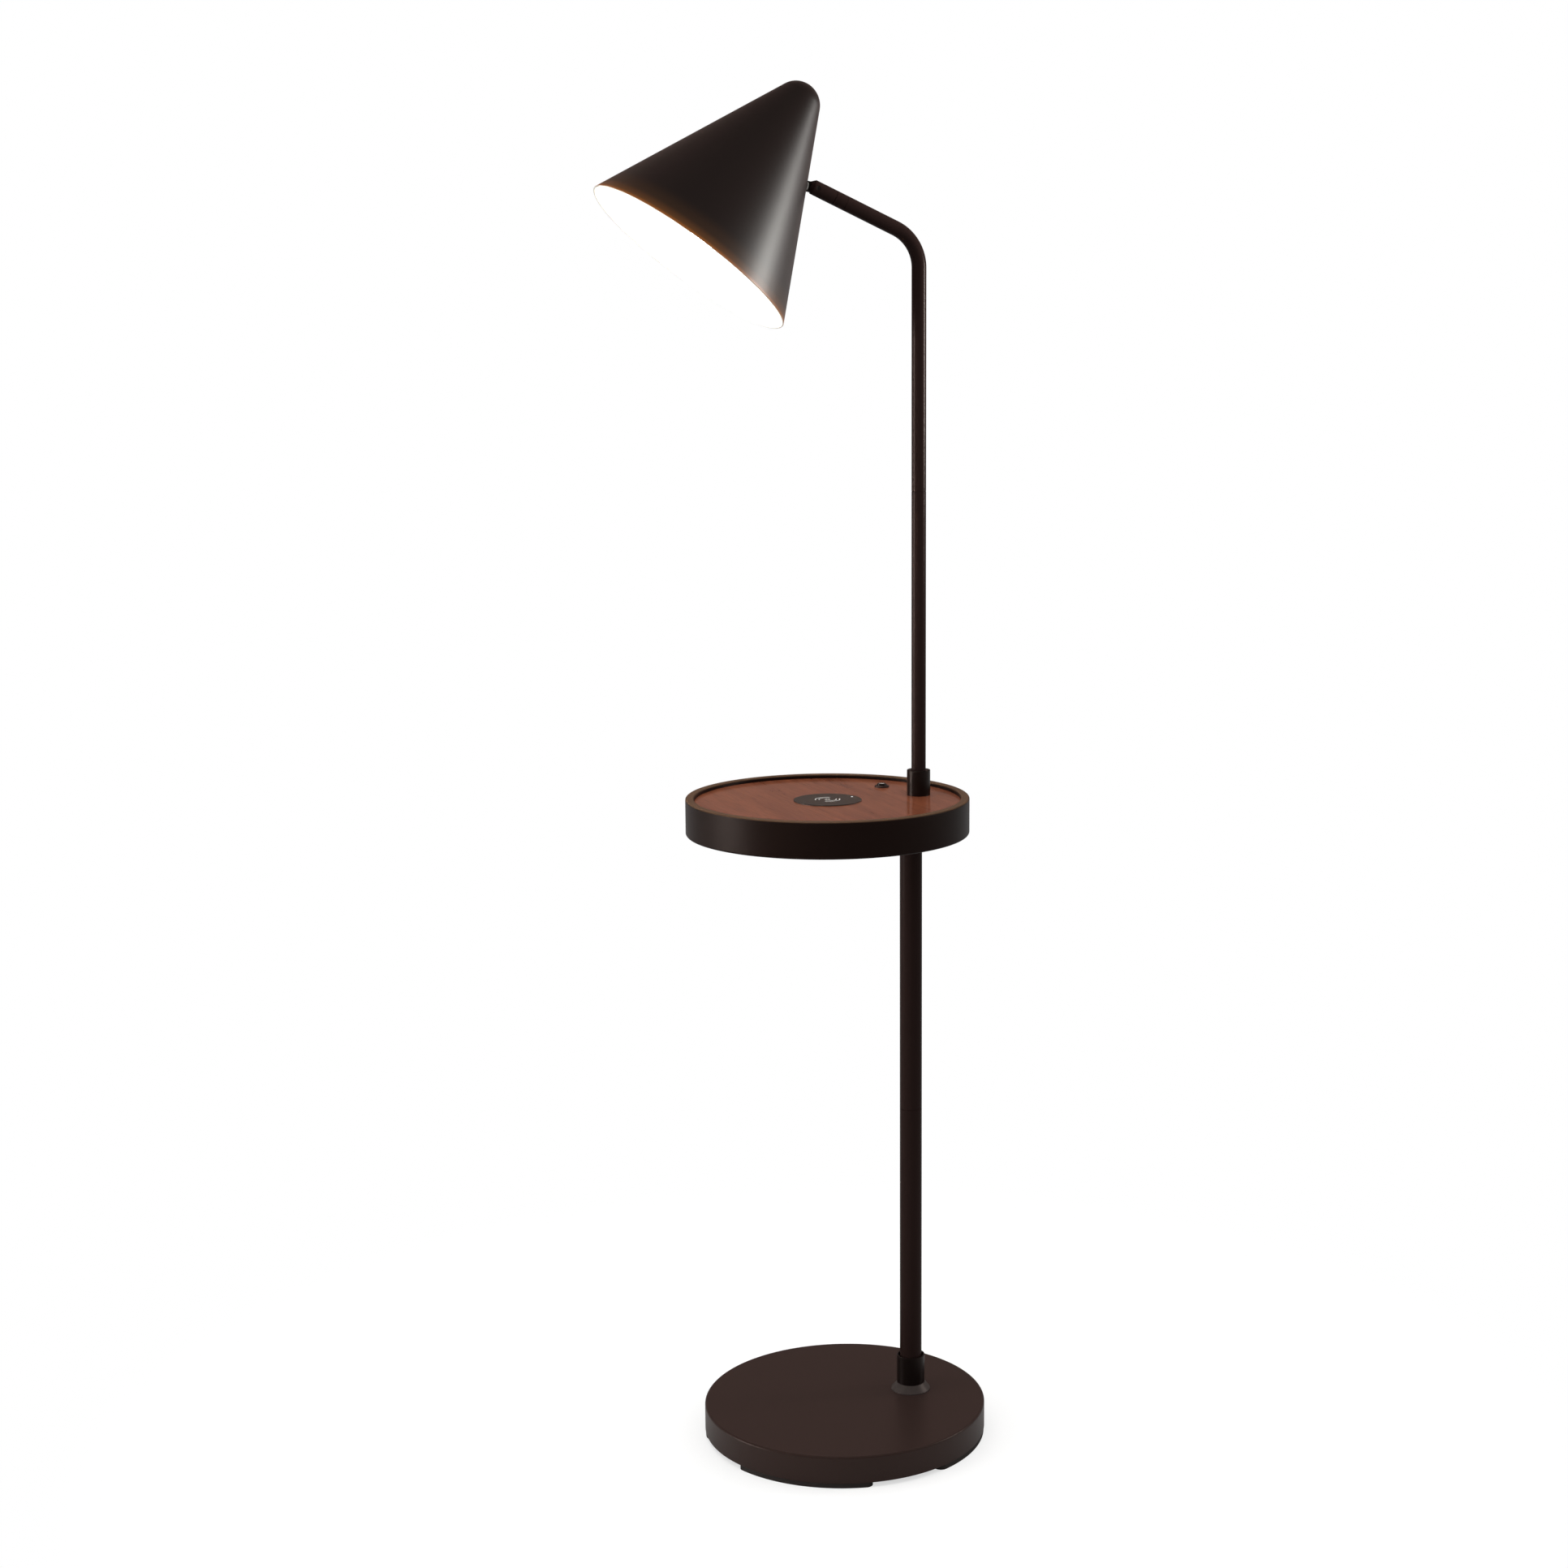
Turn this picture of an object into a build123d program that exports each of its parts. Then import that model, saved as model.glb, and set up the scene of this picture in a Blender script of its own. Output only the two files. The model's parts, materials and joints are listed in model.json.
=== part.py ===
from build123d import *
import math
import os

# Shelf floor lamp, in millimetres and degrees. The origin is on the floor under the middle of the round base.
# +Z is up and +X runs from the middle of the base to the pole, so the arm and the shade reach over -X.

# Clearances
fit = 0.05                    # between pieces that are pressed, screwed or glued together
journal_gap = 0.05            # radial, round the swivel journal and the tilt pin
moving_gap = 0.3              # between faces that pass each other when the lamp moves

# Hollow threaded rods and their nuts
nipple_radius = 5.0
nipple_bore = 3.0
nipple_engagement = 22.0      # length inside a tube's end plug
nipple_end = 2.0              # length that stands out of a nut
nut_flats = 17.0
nut_height = 8.0
washer_radius = 13.0
washer_thickness = 2.0
plug_length = 25.0            # threaded plug in the end of a tube

# Base
base_radius = 160.0
base_skirt = 30.5
base_sheet = 1.2
base_edge = 2.5
plate_thickness = 1.5
pole_edge_margin = 79.5       # pole axis to the edge of the base
foot_count = 4
foot_height = 5.5
foot_width = 16.0
foot_inset = 0.6
foot_span = 60.0
foot_turn = 8.0               # turn of the ring of feet from the diagonals
foot_centre_radius = 15.0
base_screw_count = 4
base_screw_circle = 110.0     # radius
base_screw_radius = 2.0
base_screw_head = 4.0
base_screw_head_height = 2.2
base_screw_length = 12.0
nut_pocket_radius = 15.0
cord_hole_radius = 4.5
cord_bore = 3.2
cord_height = 8.5             # above the skirt's lower edge
grommet_lip = 2.0
grommet_lip_height = 2.2
grommet_tail = 3.0

# Collar at the foot of the pole
flange_height = 8.5
flange_flare = 6.5
flange_lip = 0.8
collar_height = 33.0
collar_floor = 3.0
collar_wall = 1.8
collar_gap = 1.7

# Lower pole
pole_radius = 12.5
pole_wall = 1.2
pole_section_length = 325.0
pole_coupler_half = 30.0
pole_coupler_bore = 8.0
seam_chamfer = 0.4

# Shelf
shelf_radius = 156.0
shelf_height = 40.0
shelf_edge_margin = 49.5      # upper tube's axis to the edge of the shelf
rim_wall = 9.5
rim_edge = 2.0
shelf_recess = 4.5
ledge_width = 12.0
wood_thickness = 6.0
shelf_floor_thickness = 4.0
shelf_screw_count = 6
shelf_screw_radius = 1.75
shelf_screw_head = 3.5
shelf_screw_length = 14.0
tube_shift = 9.0              # upper tube's axis beyond the pole's
block_width = 34.0
block_inner_end = 24.0        # past the pole's axis
block_outer_end = 16.0        # past the upper tube's axis
block_corner = 6.0
block_gallery = 4.0           # room for the wires between the two threaded rods
shelf_collar_wall = 5.0
shelf_collar_height = 28.5
shelf_collar_floor = 6.0
shelf_collar_edge = 1.0

# Wireless charger in the shelf
charger_radius = 37.4
charger_flange = 1.2
charger_edge = 0.5
charger_spigot = 2.0
charger_cup_radius = 35.0
charger_cup_wall = 1.5
charger_depth = 17.0
coil_outer = 24.0
coil_inner = 10.0
coil_height = 2.4
shield_radius = 26.0
shield_thickness = 0.6
board_radius = 30.0
board_thickness = 1.6
led_radius = 1.2
led_edge_margin = 6.2         # from the pad's edge
led_angle = 12.0

# Push switch in the shelf
button_edge_margin = 51.0     # button's axis to the edge of the shelf
button_angle = 36.0
button_radius = 5.4
button_rise = 2.0             # above the bezel
button_travel = 1.6
button_edge = 0.8
button_skirt = 1.0            # below the wood's face
button_gap = 0.2
stem_radius = 1.8
stem_depth = 5.0              # inside the switch
bezel_radius = 8.2
bezel_height = 2.2
bezel_edge = 0.8
bushing_radius = 6.9
bushing_length = 9.0
bushing_nut_flats = 17.0
bushing_nut_height = 2.5
switch_width = 13.0
switch_height = 10.0

# Upper tube and arm
tube_radius = 8.0
tube_wall = 1.0
upper_tube_length = 330.0
upper_coupler_half = 25.0
upper_coupler_bore = 4.0
arm_rise = 268.0              # seam to the corner of the tube's axis
bend_radius = 45.0
arm_elevation = 24.0
arm_length = 91.5             # corner of the axis to the end of the tube

# Swivel and tilt knuckle
band_length = 13.2
band_chamfer = 0.4
spindle_plug = 12.0
journal_radius = 4.5
journal_length = 11.5
groove_depth = 0.9
groove_offset = 5.8           # from the band's face to the middle of the groove
swivel_range = 280.0          # from stop to stop
swivel_screw_radius = 1.5
wire_bore = 2.5
barrel_length = 29.3
nose_length = 4.0
nose_depth = 2.8
pin_radius = 2.5
pin_setback = 7.8             # from the barrel's nose
pin_slot_width = 0.8
pin_slot_depth = 0.8
pin_recess = 0.1
fork_depth = 14.6
tongue_width = 11.0
tongue_thickness = 4.2
tongue_reach = 13.3           # tilt pin to the shade's outer face
friction_washer_radius = 4.4
friction_washer_thickness = 0.4
stud_radius = 3.0
stud_length = 10.5            # from the shade's outer face

# Shade
shade_radius = 120.0
shade_half_angle = 25.0
shade_tip_radius = 25.0
shade_wall = 1.0
shade_lean = 36.8             # axis from the vertical at rest
attach_height = 137.8         # stud above the plane of the rim, along the shade's axis

# Inside the shade
bracket_thickness = 1.5
bracket_width = 20.0
bracket_drop = 9.0            # end of the wall strip below the stud
bracket_rise = 8.0            # plate above the stud
bracket_end = 12.0            # plate past the shade's axis
stud_washer_radius = 6.0
stud_washer_thickness = 1.0
stud_nut_flats = 10.0
stud_nut_height = 4.0
socket_radius = 19.5
socket_length = 44.0
socket_neck_radius = 12.0
socket_neck_length = 9.0
socket_cavity_depth = 30.0
socket_shell_wall = 0.4
socket_nut_height = 4.0
socket_nipple_depth = 8.0

# Bulb
bulb_cap_radius = 13.2
bulb_cap_length = 24.0
bulb_neck_radius = 14.0
bulb_neck_gap = 0.5           # below the socket's mouth
bulb_radius = 30.0
bulb_cone_angle = 19.5
bulb_wall = 1.0

# Heights, from the floor upwards
base_bottom = foot_height
base_top = base_bottom + base_skirt
plate_top = base_bottom + plate_thickness
weight_top = base_top - base_sheet
cord_level = base_bottom + cord_height
collar_bottom = base_top + flange_height
pole_bottom = collar_bottom + collar_floor
pole_seam = pole_bottom + pole_section_length
pole_top = pole_seam + pole_section_length
shelf_bottom = pole_top
rim_top = shelf_bottom + shelf_height
floor_top = shelf_bottom + shelf_floor_thickness
wood_top = rim_top - shelf_recess
wood_bottom = wood_top - wood_thickness
tube_bottom = wood_top + shelf_collar_floor
tube_seam = tube_bottom + upper_tube_length
arm_corner = tube_seam + arm_rise

# Axes and radii that several pieces share
pole_x = base_radius - pole_edge_margin
tube_x = pole_x + tube_shift
shelf_x = tube_x - (shelf_radius - shelf_edge_margin)
cover_inner = base_radius - base_sheet
collar_radius = pole_radius + collar_gap + collar_wall
pole_bore = pole_radius - pole_wall
tube_bore = tube_radius - tube_wall
rim_inner = shelf_radius - rim_wall
threaded_hole = nipple_radius + fit
bezel_top = wood_top + bezel_height

# Stations along the arm, from the corner of the tube's axis
band_end = arm_length + band_length
journal_end = band_end + journal_length
barrel_start = band_end + moving_gap
barrel_end = barrel_start + barrel_length
pin_station = barrel_end - pin_setback
fork_floor = barrel_end - fork_depth
groove_station = band_end + groove_offset
fork_width = tongue_thickness + 2 * (friction_washer_thickness + fit + journal_gap)

# The shade's frame has its origin in the middle of the rim, with Z along the axis towards the tip
slope = math.tan(math.radians(shade_half_angle))
attach_radius = shade_radius - attach_height * slope
plate_level = attach_height + bracket_rise
socket_mouth = plate_level - socket_length

# Places of the shelf, the arm, the tilt pin and the shade in the lamp
at_pole = Pos(pole_x, 0, 0)
at_tube = Pos(tube_x, 0, 0)
at_shelf = Pos(shelf_x, 0, 0)
at_button = at_shelf * Rot(0, 0, button_angle) * Pos(shelf_radius - button_edge_margin, 0, 0)
at_arm = Pos(tube_x, 0, arm_corner) * Rot(0, arm_elevation - 90, 0)
at_pin = at_arm * Pos(0, 0, pin_station)
at_stud = Pos(at_pin.position) * Rot(0, shade_lean - 90 - shade_half_angle, 0)
at_shade_wall = at_stud * Pos(0, 0, tongue_reach)
at_shade = Pos(at_shade_wall.position) * Rot(0, shade_lean, 0) * Pos(-attach_radius, 0, -attach_height)

ON_FLOOR = (Align.CENTER, Align.CENTER, Align.MIN)
MARGIN = 1.0                  # overshoot of a cut past the face that it opens


def rod(radius, bottom, top):
    """A cylinder about Z between two heights."""
    return Pos(0, 0, bottom) * Cylinder(radius, top - bottom, align=ON_FLOOR)


def pipe(radius, bore, bottom, top):
    """A rod with a bore."""
    return rod(radius, bottom, top) - rod(bore, bottom, top)


def cross_rod(radius, half_length):
    """A cylinder about Y, centred on the origin."""
    return Rot(90, 0, 0) * Cylinder(radius, 2 * half_length)


def turned(*points):
    """A solid turned about Z from a closed outline of radius and height."""
    return revolve(Plane.XZ * make_face(Polyline(*points, close=True)), Axis.Z)


def hex_nut(flats, bore, bottom, top):
    """A plain hexagon nut about Z."""
    outline = RegularPolygon(flats / 2, 6, major_radius=False) - Circle(bore)
    return extrude(Plane.XY.offset(bottom) * outline, amount=top - bottom)


def ring_of(count, radius, start=0.0):
    """Places evenly spaced on a circle about Z."""
    return [Rot(0, 0, start + 360 * i / count) * Pos(radius, 0, 0) for i in range(count)]


def joined_tube(radius, bore, bottom, top):
    """A tube with a small chamfer on each outer end, which shows as a fine seam where two tubes meet."""
    inset = radius - seam_chamfer
    return turned((bore, bottom), (inset, bottom), (radius, bottom + seam_chamfer),
                  (radius, top - seam_chamfer), (inset, top), (bore, top))


# Base

def base_cover():
    """The stamped shell: top, rounded edge and skirt."""
    shell = rod(base_radius, base_bottom, base_top)
    shell = fillet(shell.edges().group_by(Axis.Z)[-1], base_edge)
    hollow = rod(cover_inner, base_bottom, weight_top)
    hollow = fillet(hollow.edges().group_by(Axis.Z)[-1], max(base_edge - base_sheet, fit))
    shell -= hollow
    shell -= at_pole * rod(threaded_hole, base_bottom, base_top)
    return shell - cord_passage(cord_hole_radius)


def cord_passage(radius):
    """A straight hole along X at the back of the base, from the pole out through the skirt."""
    hole = Rot(0, 90, 0) * rod(radius, pole_x, base_radius + MARGIN)
    return Pos(0, 0, cord_level) * hole


def base_weight():
    """The cast weight, with a pocket for the nut and a channel for the cord under it."""
    weight = rod(cover_inner - moving_gap, plate_top, weight_top)
    weight = fillet(weight.edges().group_by(Axis.Z)[-1], base_edge)
    pocket_depth = washer_thickness + nut_height + nipple_end
    weight -= at_pole * rod(nut_pocket_radius, plate_top, plate_top + pocket_depth)
    weight -= at_pole * rod(threaded_hole, plate_top, weight_top)
    channel_width = 2 * (cord_hole_radius + moving_gap)
    channel_top = cord_level + channel_width / 2
    channel = Box(pole_edge_margin, channel_width, channel_top - plate_top,
                  align=(Align.MIN, Align.CENTER, Align.MIN))
    weight -= Pos(pole_x, 0, plate_top) * channel
    screw_hole = rod(base_screw_radius + fit, plate_top, base_bottom + base_screw_length + MARGIN)
    for place in base_screw_places():
        weight -= place * screw_hole
    return weight


def base_screw_places():
    """The screws stand between the feet's radius and the pole's, on the diagonals."""
    return ring_of(base_screw_count, base_screw_circle, 180 / base_screw_count)


def base_plate():
    """The plate that closes the base from below."""
    plate = rod(cover_inner - fit, base_bottom, plate_top)
    for place in base_screw_places():
        plate -= place * rod(base_screw_radius + fit, base_bottom, plate_top)
    return plate


def base_screws():
    """Pan-head screws through the plate into the weight."""
    head = rod(base_screw_head, base_bottom - base_screw_head_height, base_bottom)
    head = fillet(head.edges().group_by(Axis.Z)[0], base_screw_head_height / 2)
    screw = head + rod(base_screw_radius, base_bottom, base_bottom + base_screw_length)
    return [place * screw for place in base_screw_places()]


def foot_pads():
    """Arc-shaped feet with round ends, evenly spaced under the plate's edge, and a round one under its middle."""
    middle = base_radius - foot_inset - foot_width / 2
    end_angle = math.degrees(foot_width / 2 / middle)
    arc_span = foot_span - 2 * end_angle
    pads = []
    for i in range(foot_count):
        centre = foot_turn + (i + 0.5) * 360 / foot_count
        line = CenterArc((0, 0), middle, centre - arc_span / 2, arc_span)
        pads.append(extrude(SlotArc(line, foot_width), amount=foot_height))
    pads.append(rod(foot_centre_radius, 0, foot_height))
    return pads


def base_flange():
    """The conical ring between the base and the collar."""
    foot = collar_radius + flange_flare
    ring = turned((0, base_top), (foot, base_top), (foot, base_top + flange_lip),
                  (collar_radius, collar_bottom), (0, collar_bottom))
    return at_pole * (ring - rod(threaded_hole, base_top, collar_bottom))


def base_collar():
    """The cup that the pole stands in."""
    cup = rod(collar_radius, collar_bottom, collar_bottom + collar_height)
    cup -= rod(pole_radius + collar_gap, pole_bottom, collar_bottom + collar_height)
    cup = chamfer(cup.edges().group_by(Axis.Z)[-1], collar_wall / 4)
    return at_pole * (cup - rod(threaded_hole, collar_bottom, pole_bottom))


def base_nipple():
    """The hollow rod from the nut under the weight up into the pole's foot."""
    return at_pole * pipe(nipple_radius, nipple_bore, plate_top, pole_bottom + nipple_engagement)


def base_nut():
    """The nut in the weight's pocket."""
    bottom = plate_top + nipple_end
    return at_pole * hex_nut(nut_flats, threaded_hole, bottom, bottom + nut_height)


def base_washer():
    """The washer between the nut and the weight."""
    bottom = plate_top + nipple_end + nut_height
    return at_pole * pipe(washer_radius, threaded_hole, bottom, bottom + washer_thickness)


def cord_grommet():
    """The bushing in the skirt, with a lip that follows the skirt's curve."""
    lip = Rot(0, 90, 0) * rod(cord_hole_radius + grommet_lip, pole_x, base_radius + grommet_lip_height)
    lip = Pos(0, 0, cord_level) * lip - rod(base_radius + fit, 0, base_top)
    neck = Rot(0, 90, 0) * rod(cord_hole_radius - fit, cover_inner - grommet_tail, base_radius + MARGIN)
    bushing = lip + Pos(0, 0, cord_level) * neck
    bore = Rot(0, 90, 0) * rod(cord_bore, pole_x, base_radius + grommet_lip_height + MARGIN)
    return bushing - Pos(0, 0, cord_level) * bore


# Lower pole

def pole_section(bottom):
    """One of the two equal tubes of the pole."""
    return at_pole * joined_tube(pole_radius, pole_bore, bottom, bottom + pole_section_length)


def pole_plug(bottom):
    """A threaded plug in an end of the pole."""
    return at_pole * pipe(pole_bore - fit, threaded_hole, bottom, bottom + plug_length)


def pole_coupler():
    """The threaded plug that joins the two tubes."""
    return at_pole * pipe(pole_bore - fit, pole_coupler_bore,
                          pole_seam - pole_coupler_half, pole_seam + pole_coupler_half)


# Shelf

def shelf_rim():
    """The drum's ring: a wall with rounded edges, and a ledge inside for the two panels."""
    ledge = rim_inner - ledge_width
    section = make_face(Polyline(
        (shelf_radius, shelf_bottom), (shelf_radius, rim_top), (rim_inner, rim_top),
        (rim_inner, wood_bottom), (ledge, wood_bottom), (ledge, floor_top),
        (rim_inner, floor_top), (rim_inner, shelf_bottom), close=True))
    outer_corners = section.vertices().group_by(Axis.X)[-1]
    top_corners = section.vertices().group_by(Axis.Y)[-1]
    inner_top = top_corners.sort_by(Axis.X)[0]
    section = fillet([*outer_corners, inner_top], rim_edge)
    rim = revolve(Plane.XZ * section, Axis.Z)
    for place in shelf_screw_places():
        rim -= place * rod(shelf_screw_radius + fit, floor_top, shelf_bottom + shelf_screw_length + MARGIN)
    return at_shelf * rim


def shelf_screw_places():
    """The screws go up into the middle of the ledge."""
    return ring_of(shelf_screw_count, rim_inner - ledge_width / 2)


def flat_screw(radius, head, bottom, top, gap=0.0):
    """A countersunk screw with its head flush with the lower face, or the hole that takes it."""
    hole = radius + gap
    return turned((0, bottom), (head + gap, bottom), (hole, bottom + head - radius), (hole, top), (0, top))


def shelf_top():
    """The veneered panel, with holes for the charger, the switch and the threaded rod."""
    panel = at_shelf * rod(rim_inner - fit, wood_bottom, wood_top)
    panel -= at_shelf * rod(charger_cup_radius + fit, wood_bottom, wood_top)
    panel -= at_button * rod(bushing_radius + fit, wood_bottom, wood_top)
    return panel - at_tube * rod(threaded_hole, wood_bottom, wood_top)


def shelf_floor():
    """The panel underneath."""
    panel = rod(rim_inner - fit, shelf_bottom, floor_top)
    for place in shelf_screw_places():
        panel -= place * flat_screw(shelf_screw_radius, shelf_screw_head, shelf_bottom, floor_top, fit)
    return at_shelf * panel - at_pole * rod(threaded_hole, shelf_bottom, floor_top)


def shelf_screws():
    """Countersunk screws through the floor into the ledge."""
    screw = flat_screw(shelf_screw_radius, shelf_screw_head, shelf_bottom, shelf_bottom + shelf_screw_length)
    return [at_shelf * place * screw for place in shelf_screw_places()]


def block_thread():
    """Depth of each threaded hole in the block, which leaves the wires' gallery between them."""
    return (wood_bottom - floor_top - block_gallery) / 2


def offset_block():
    """The block between the two panels, with the pole's rod below and the upper tube's rod above."""
    start = pole_x - block_inner_end
    end = tube_x + block_outer_end
    outline = RectangleRounded(end - start, block_width, block_corner)
    block = extrude(Pos((start + end) / 2, 0, floor_top) * outline, amount=wood_bottom - floor_top)
    block -= at_pole * rod(threaded_hole, floor_top, floor_top + block_thread())
    block -= at_tube * rod(threaded_hole, wood_bottom - block_thread(), wood_bottom)
    wires = rod(nipple_bore, floor_top, wood_bottom)
    return block - Pos((pole_x + tube_x) / 2, 0, 0) * wires


def shelf_nipple_lower():
    """The hollow rod from the pole's head up into the block."""
    bottom = pole_top - nipple_engagement
    return at_pole * pipe(nipple_radius, nipple_bore, bottom, floor_top + block_thread())


def shelf_nipple_upper():
    """The hollow rod from the block up through the collar into the upper tube."""
    bottom = wood_bottom - block_thread()
    return at_tube * pipe(nipple_radius, nipple_bore, bottom, tube_bottom + nipple_engagement)


def shelf_collar():
    """The collar that the upper tube stands in."""
    top = wood_top + shelf_collar_height
    collar = rod(tube_radius + shelf_collar_wall, wood_top, top)
    collar = fillet(collar.edges().group_by(Axis.Z)[-1], shelf_collar_edge)
    collar -= rod(tube_radius + fit, tube_bottom, top)
    return at_tube * (collar - rod(threaded_hole, wood_top, tube_bottom))


# Wireless charger

def charger_pad():
    """The visible disc, which lies on the wood and plugs into the cup."""
    disc = rod(charger_radius, wood_top, wood_top + charger_flange)
    disc = fillet(disc.edges().group_by(Axis.Z)[-1], charger_edge)
    disc += rod(charger_cup_radius - charger_cup_wall - fit, wood_top - charger_spigot, wood_top)
    return at_shelf * (disc - at_led() * led_pin(led_radius + fit))


def at_led():
    """Place of the light in the charger pad."""
    return Rot(0, 0, led_angle) * Pos(charger_radius - led_edge_margin, 0, 0)


def led_pin(radius):
    """The light's body, from under the pad to its face."""
    return rod(radius, wood_top - charger_spigot, wood_top + charger_flange)


def charger_cup():
    """The housing under the pad."""
    bottom = wood_top - charger_depth
    cup = rod(charger_cup_radius, bottom, wood_top)
    return at_shelf * (cup - rod(charger_cup_radius - charger_cup_wall, bottom + charger_cup_wall, wood_top))


def charger_coil():
    """The flat winding under the pad, as one ring."""
    top = wood_top - charger_spigot
    return at_shelf * pipe(coil_outer, coil_inner, top - coil_height, top)


def charger_shield():
    """The thin plate behind the winding."""
    top = wood_top - charger_spigot - coil_height
    return at_shelf * rod(shield_radius, top - shield_thickness, top)


def charger_board():
    """The circuit board on the floor of the cup."""
    bottom = wood_top - charger_depth + charger_cup_wall
    return at_shelf * rod(board_radius, bottom, bottom + board_thickness)


# Push switch

def button_bezel():
    """The ring on the wood, with the bushing that goes down through it."""
    flange = rod(bezel_radius, wood_top, bezel_top)
    flange = chamfer(flange.edges().group_by(Axis.Z)[-1], bezel_edge)
    bushing = flange + rod(bushing_radius, wood_top - bushing_length, wood_top)
    well_floor = wood_top - button_skirt - button_travel - moving_gap
    bushing -= rod(button_radius + button_gap, well_floor, bezel_top)
    return at_button * (bushing - rod(stem_radius + button_gap, wood_top - bushing_length, well_floor))


def button_nut():
    """The thin nut on the bushing, under the wood."""
    bottom = wood_bottom - bushing_nut_height
    return at_button * hex_nut(bushing_nut_flats, bushing_radius + fit, bottom, wood_bottom)


def switch_body():
    """The closed switch under the bushing, with its own return spring."""
    top = wood_top - bushing_length
    body = Pos(0, 0, top) * Box(switch_width, switch_width, switch_height,
                                align=(Align.CENTER, Align.CENTER, Align.MAX))
    well = top - stem_depth - button_travel - moving_gap
    return at_button * (body - rod(stem_radius + button_gap, well, top))


def power_button():
    """The cap that is pressed, on its stem."""
    bottom = wood_top - button_skirt
    cap = rod(button_radius, bottom, bezel_top + button_rise)
    cap = fillet(cap.edges().group_by(Axis.Z)[-1], button_edge)
    return at_button * (cap + rod(stem_radius, wood_top - bushing_length - stem_depth, bottom))


# Upper tube and arm

def upper_tube():
    """The straight tube above the shelf."""
    return at_tube * joined_tube(tube_radius, tube_bore, tube_bottom, tube_seam)


def upper_foot():
    """The threaded plug in the tube's lower end."""
    return at_tube * pipe(tube_bore - fit, threaded_hole, tube_bottom, tube_bottom + plug_length)


def upper_coupler():
    """The threaded plug that joins the tube and the arm."""
    return at_tube * pipe(tube_bore - fit, upper_coupler_bore,
                          tube_seam - upper_coupler_half, tube_seam + upper_coupler_half)


def arm_tube():
    """The upper half of the tube, bent over into the arm."""
    start = Vector(tube_x, 0, tube_seam)
    corner = Vector(tube_x, 0, arm_corner)
    end = (at_arm * Pos(0, 0, arm_length)).position
    path = FilletPolyline(start, corner, end, radius=bend_radius)
    ring = Circle(tube_radius) - Circle(tube_bore)
    bent = sweep(Plane(start) * ring, path)
    seam = pipe(tube_radius + MARGIN, tube_radius - seam_chamfer, 0, seam_chamfer)
    cone = turned((0, 0), (tube_radius - seam_chamfer, 0), (tube_radius, seam_chamfer), (0, seam_chamfer))
    return bent - Pos(start) * (seam - cone)


# Swivel and tilt knuckle, each piece along the arm's axis

def swivel_spindle():
    """The band at the end of the arm, plugged into the tube, with the journal that the barrel turns on."""
    inset = tube_radius - band_chamfer
    spindle = turned(
        (wire_bore, arm_length - spindle_plug), (tube_bore - fit, arm_length - spindle_plug),
        (tube_bore - fit, arm_length), (inset, arm_length), (tube_radius, arm_length + band_chamfer),
        (tube_radius, band_end - band_chamfer), (inset, band_end), (journal_radius, band_end),
        (journal_radius, journal_end), (wire_bore, journal_end))
    return at_arm * (spindle - swivel_groove())


def swivel_groove():
    """The groove round the journal for the set screw's tip; the land between its ends stops the swivel."""
    floor = journal_radius - groove_depth
    half_width = swivel_screw_radius + moving_gap
    end_angle = math.degrees(math.asin(half_width / (floor + moving_gap)))
    arc = swivel_range + 2 * end_angle
    cut = Rectangle(groove_depth + MARGIN, 2 * half_width, align=(Align.MIN, Align.CENTER))
    groove = revolve(Plane.XZ * Pos(floor, groove_station) * cut, Axis.Z, revolution_arc=arc)
    return Rot(0, 0, 180 - arc / 2) * groove


def knuckle_barrel():
    """The fork that turns on the journal: bore behind, tapered nose and slot in front."""
    inset = tube_radius - band_chamfer
    barrel = turned(
        (0, barrel_start), (inset, barrel_start), (tube_radius, barrel_start + band_chamfer),
        (tube_radius, barrel_end - nose_length), (tube_radius - nose_depth, barrel_end), (0, barrel_end))
    barrel -= rod(journal_radius + journal_gap, barrel_start, journal_end + moving_gap)
    barrel -= rod(wire_bore, journal_end, barrel_end)
    slot = Box(2 * (tube_radius + MARGIN), fork_width, fork_depth + MARGIN, align=ON_FLOOR)
    barrel -= Pos(0, 0, fork_floor) * slot
    barrel -= Pos(0, 0, pin_station) * cross_rod(pin_radius + fit, tube_radius + MARGIN)
    return at_arm * (barrel - swivel_screw_shape(swivel_screw_radius + fit, 0, tube_radius + MARGIN))


def swivel_screw_shape(radius, inner, outer):
    """A rod across the arm at the groove, on the underside of the barrel."""
    return Pos(0, 0, groove_station) * Rot(0, -90, 0) * rod(radius, inner, outer)


def swivel_screw():
    """The set screw whose tip runs in the journal's groove and keeps the barrel on it."""
    tip = journal_radius - groove_depth + moving_gap
    flush = math.sqrt(tube_radius ** 2 - swivel_screw_radius ** 2) - pin_recess
    return at_arm * swivel_screw_shape(swivel_screw_radius, tip, flush)


def tilt_pin():
    """The slotted pin across the fork, flush with the barrel."""
    half = math.sqrt(tube_radius ** 2 - pin_radius ** 2) - pin_recess
    pin = cross_rod(pin_radius, half)
    pin -= Pos(0, -half, 0) * Box(2 * pin_radius, 2 * pin_slot_depth, pin_slot_width)
    return at_pin * pin


def friction_washers():
    """Two thin washers between the tongue and the fork's cheeks."""
    disc = cross_rod(friction_washer_radius, friction_washer_thickness / 2)
    disc -= cross_rod(pin_radius + fit, friction_washer_thickness)
    offset = (tongue_thickness + friction_washer_thickness) / 2 + journal_gap
    return [at_pin * Pos(0, side * offset, 0) * disc for side in (-1, 1)]


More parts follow.
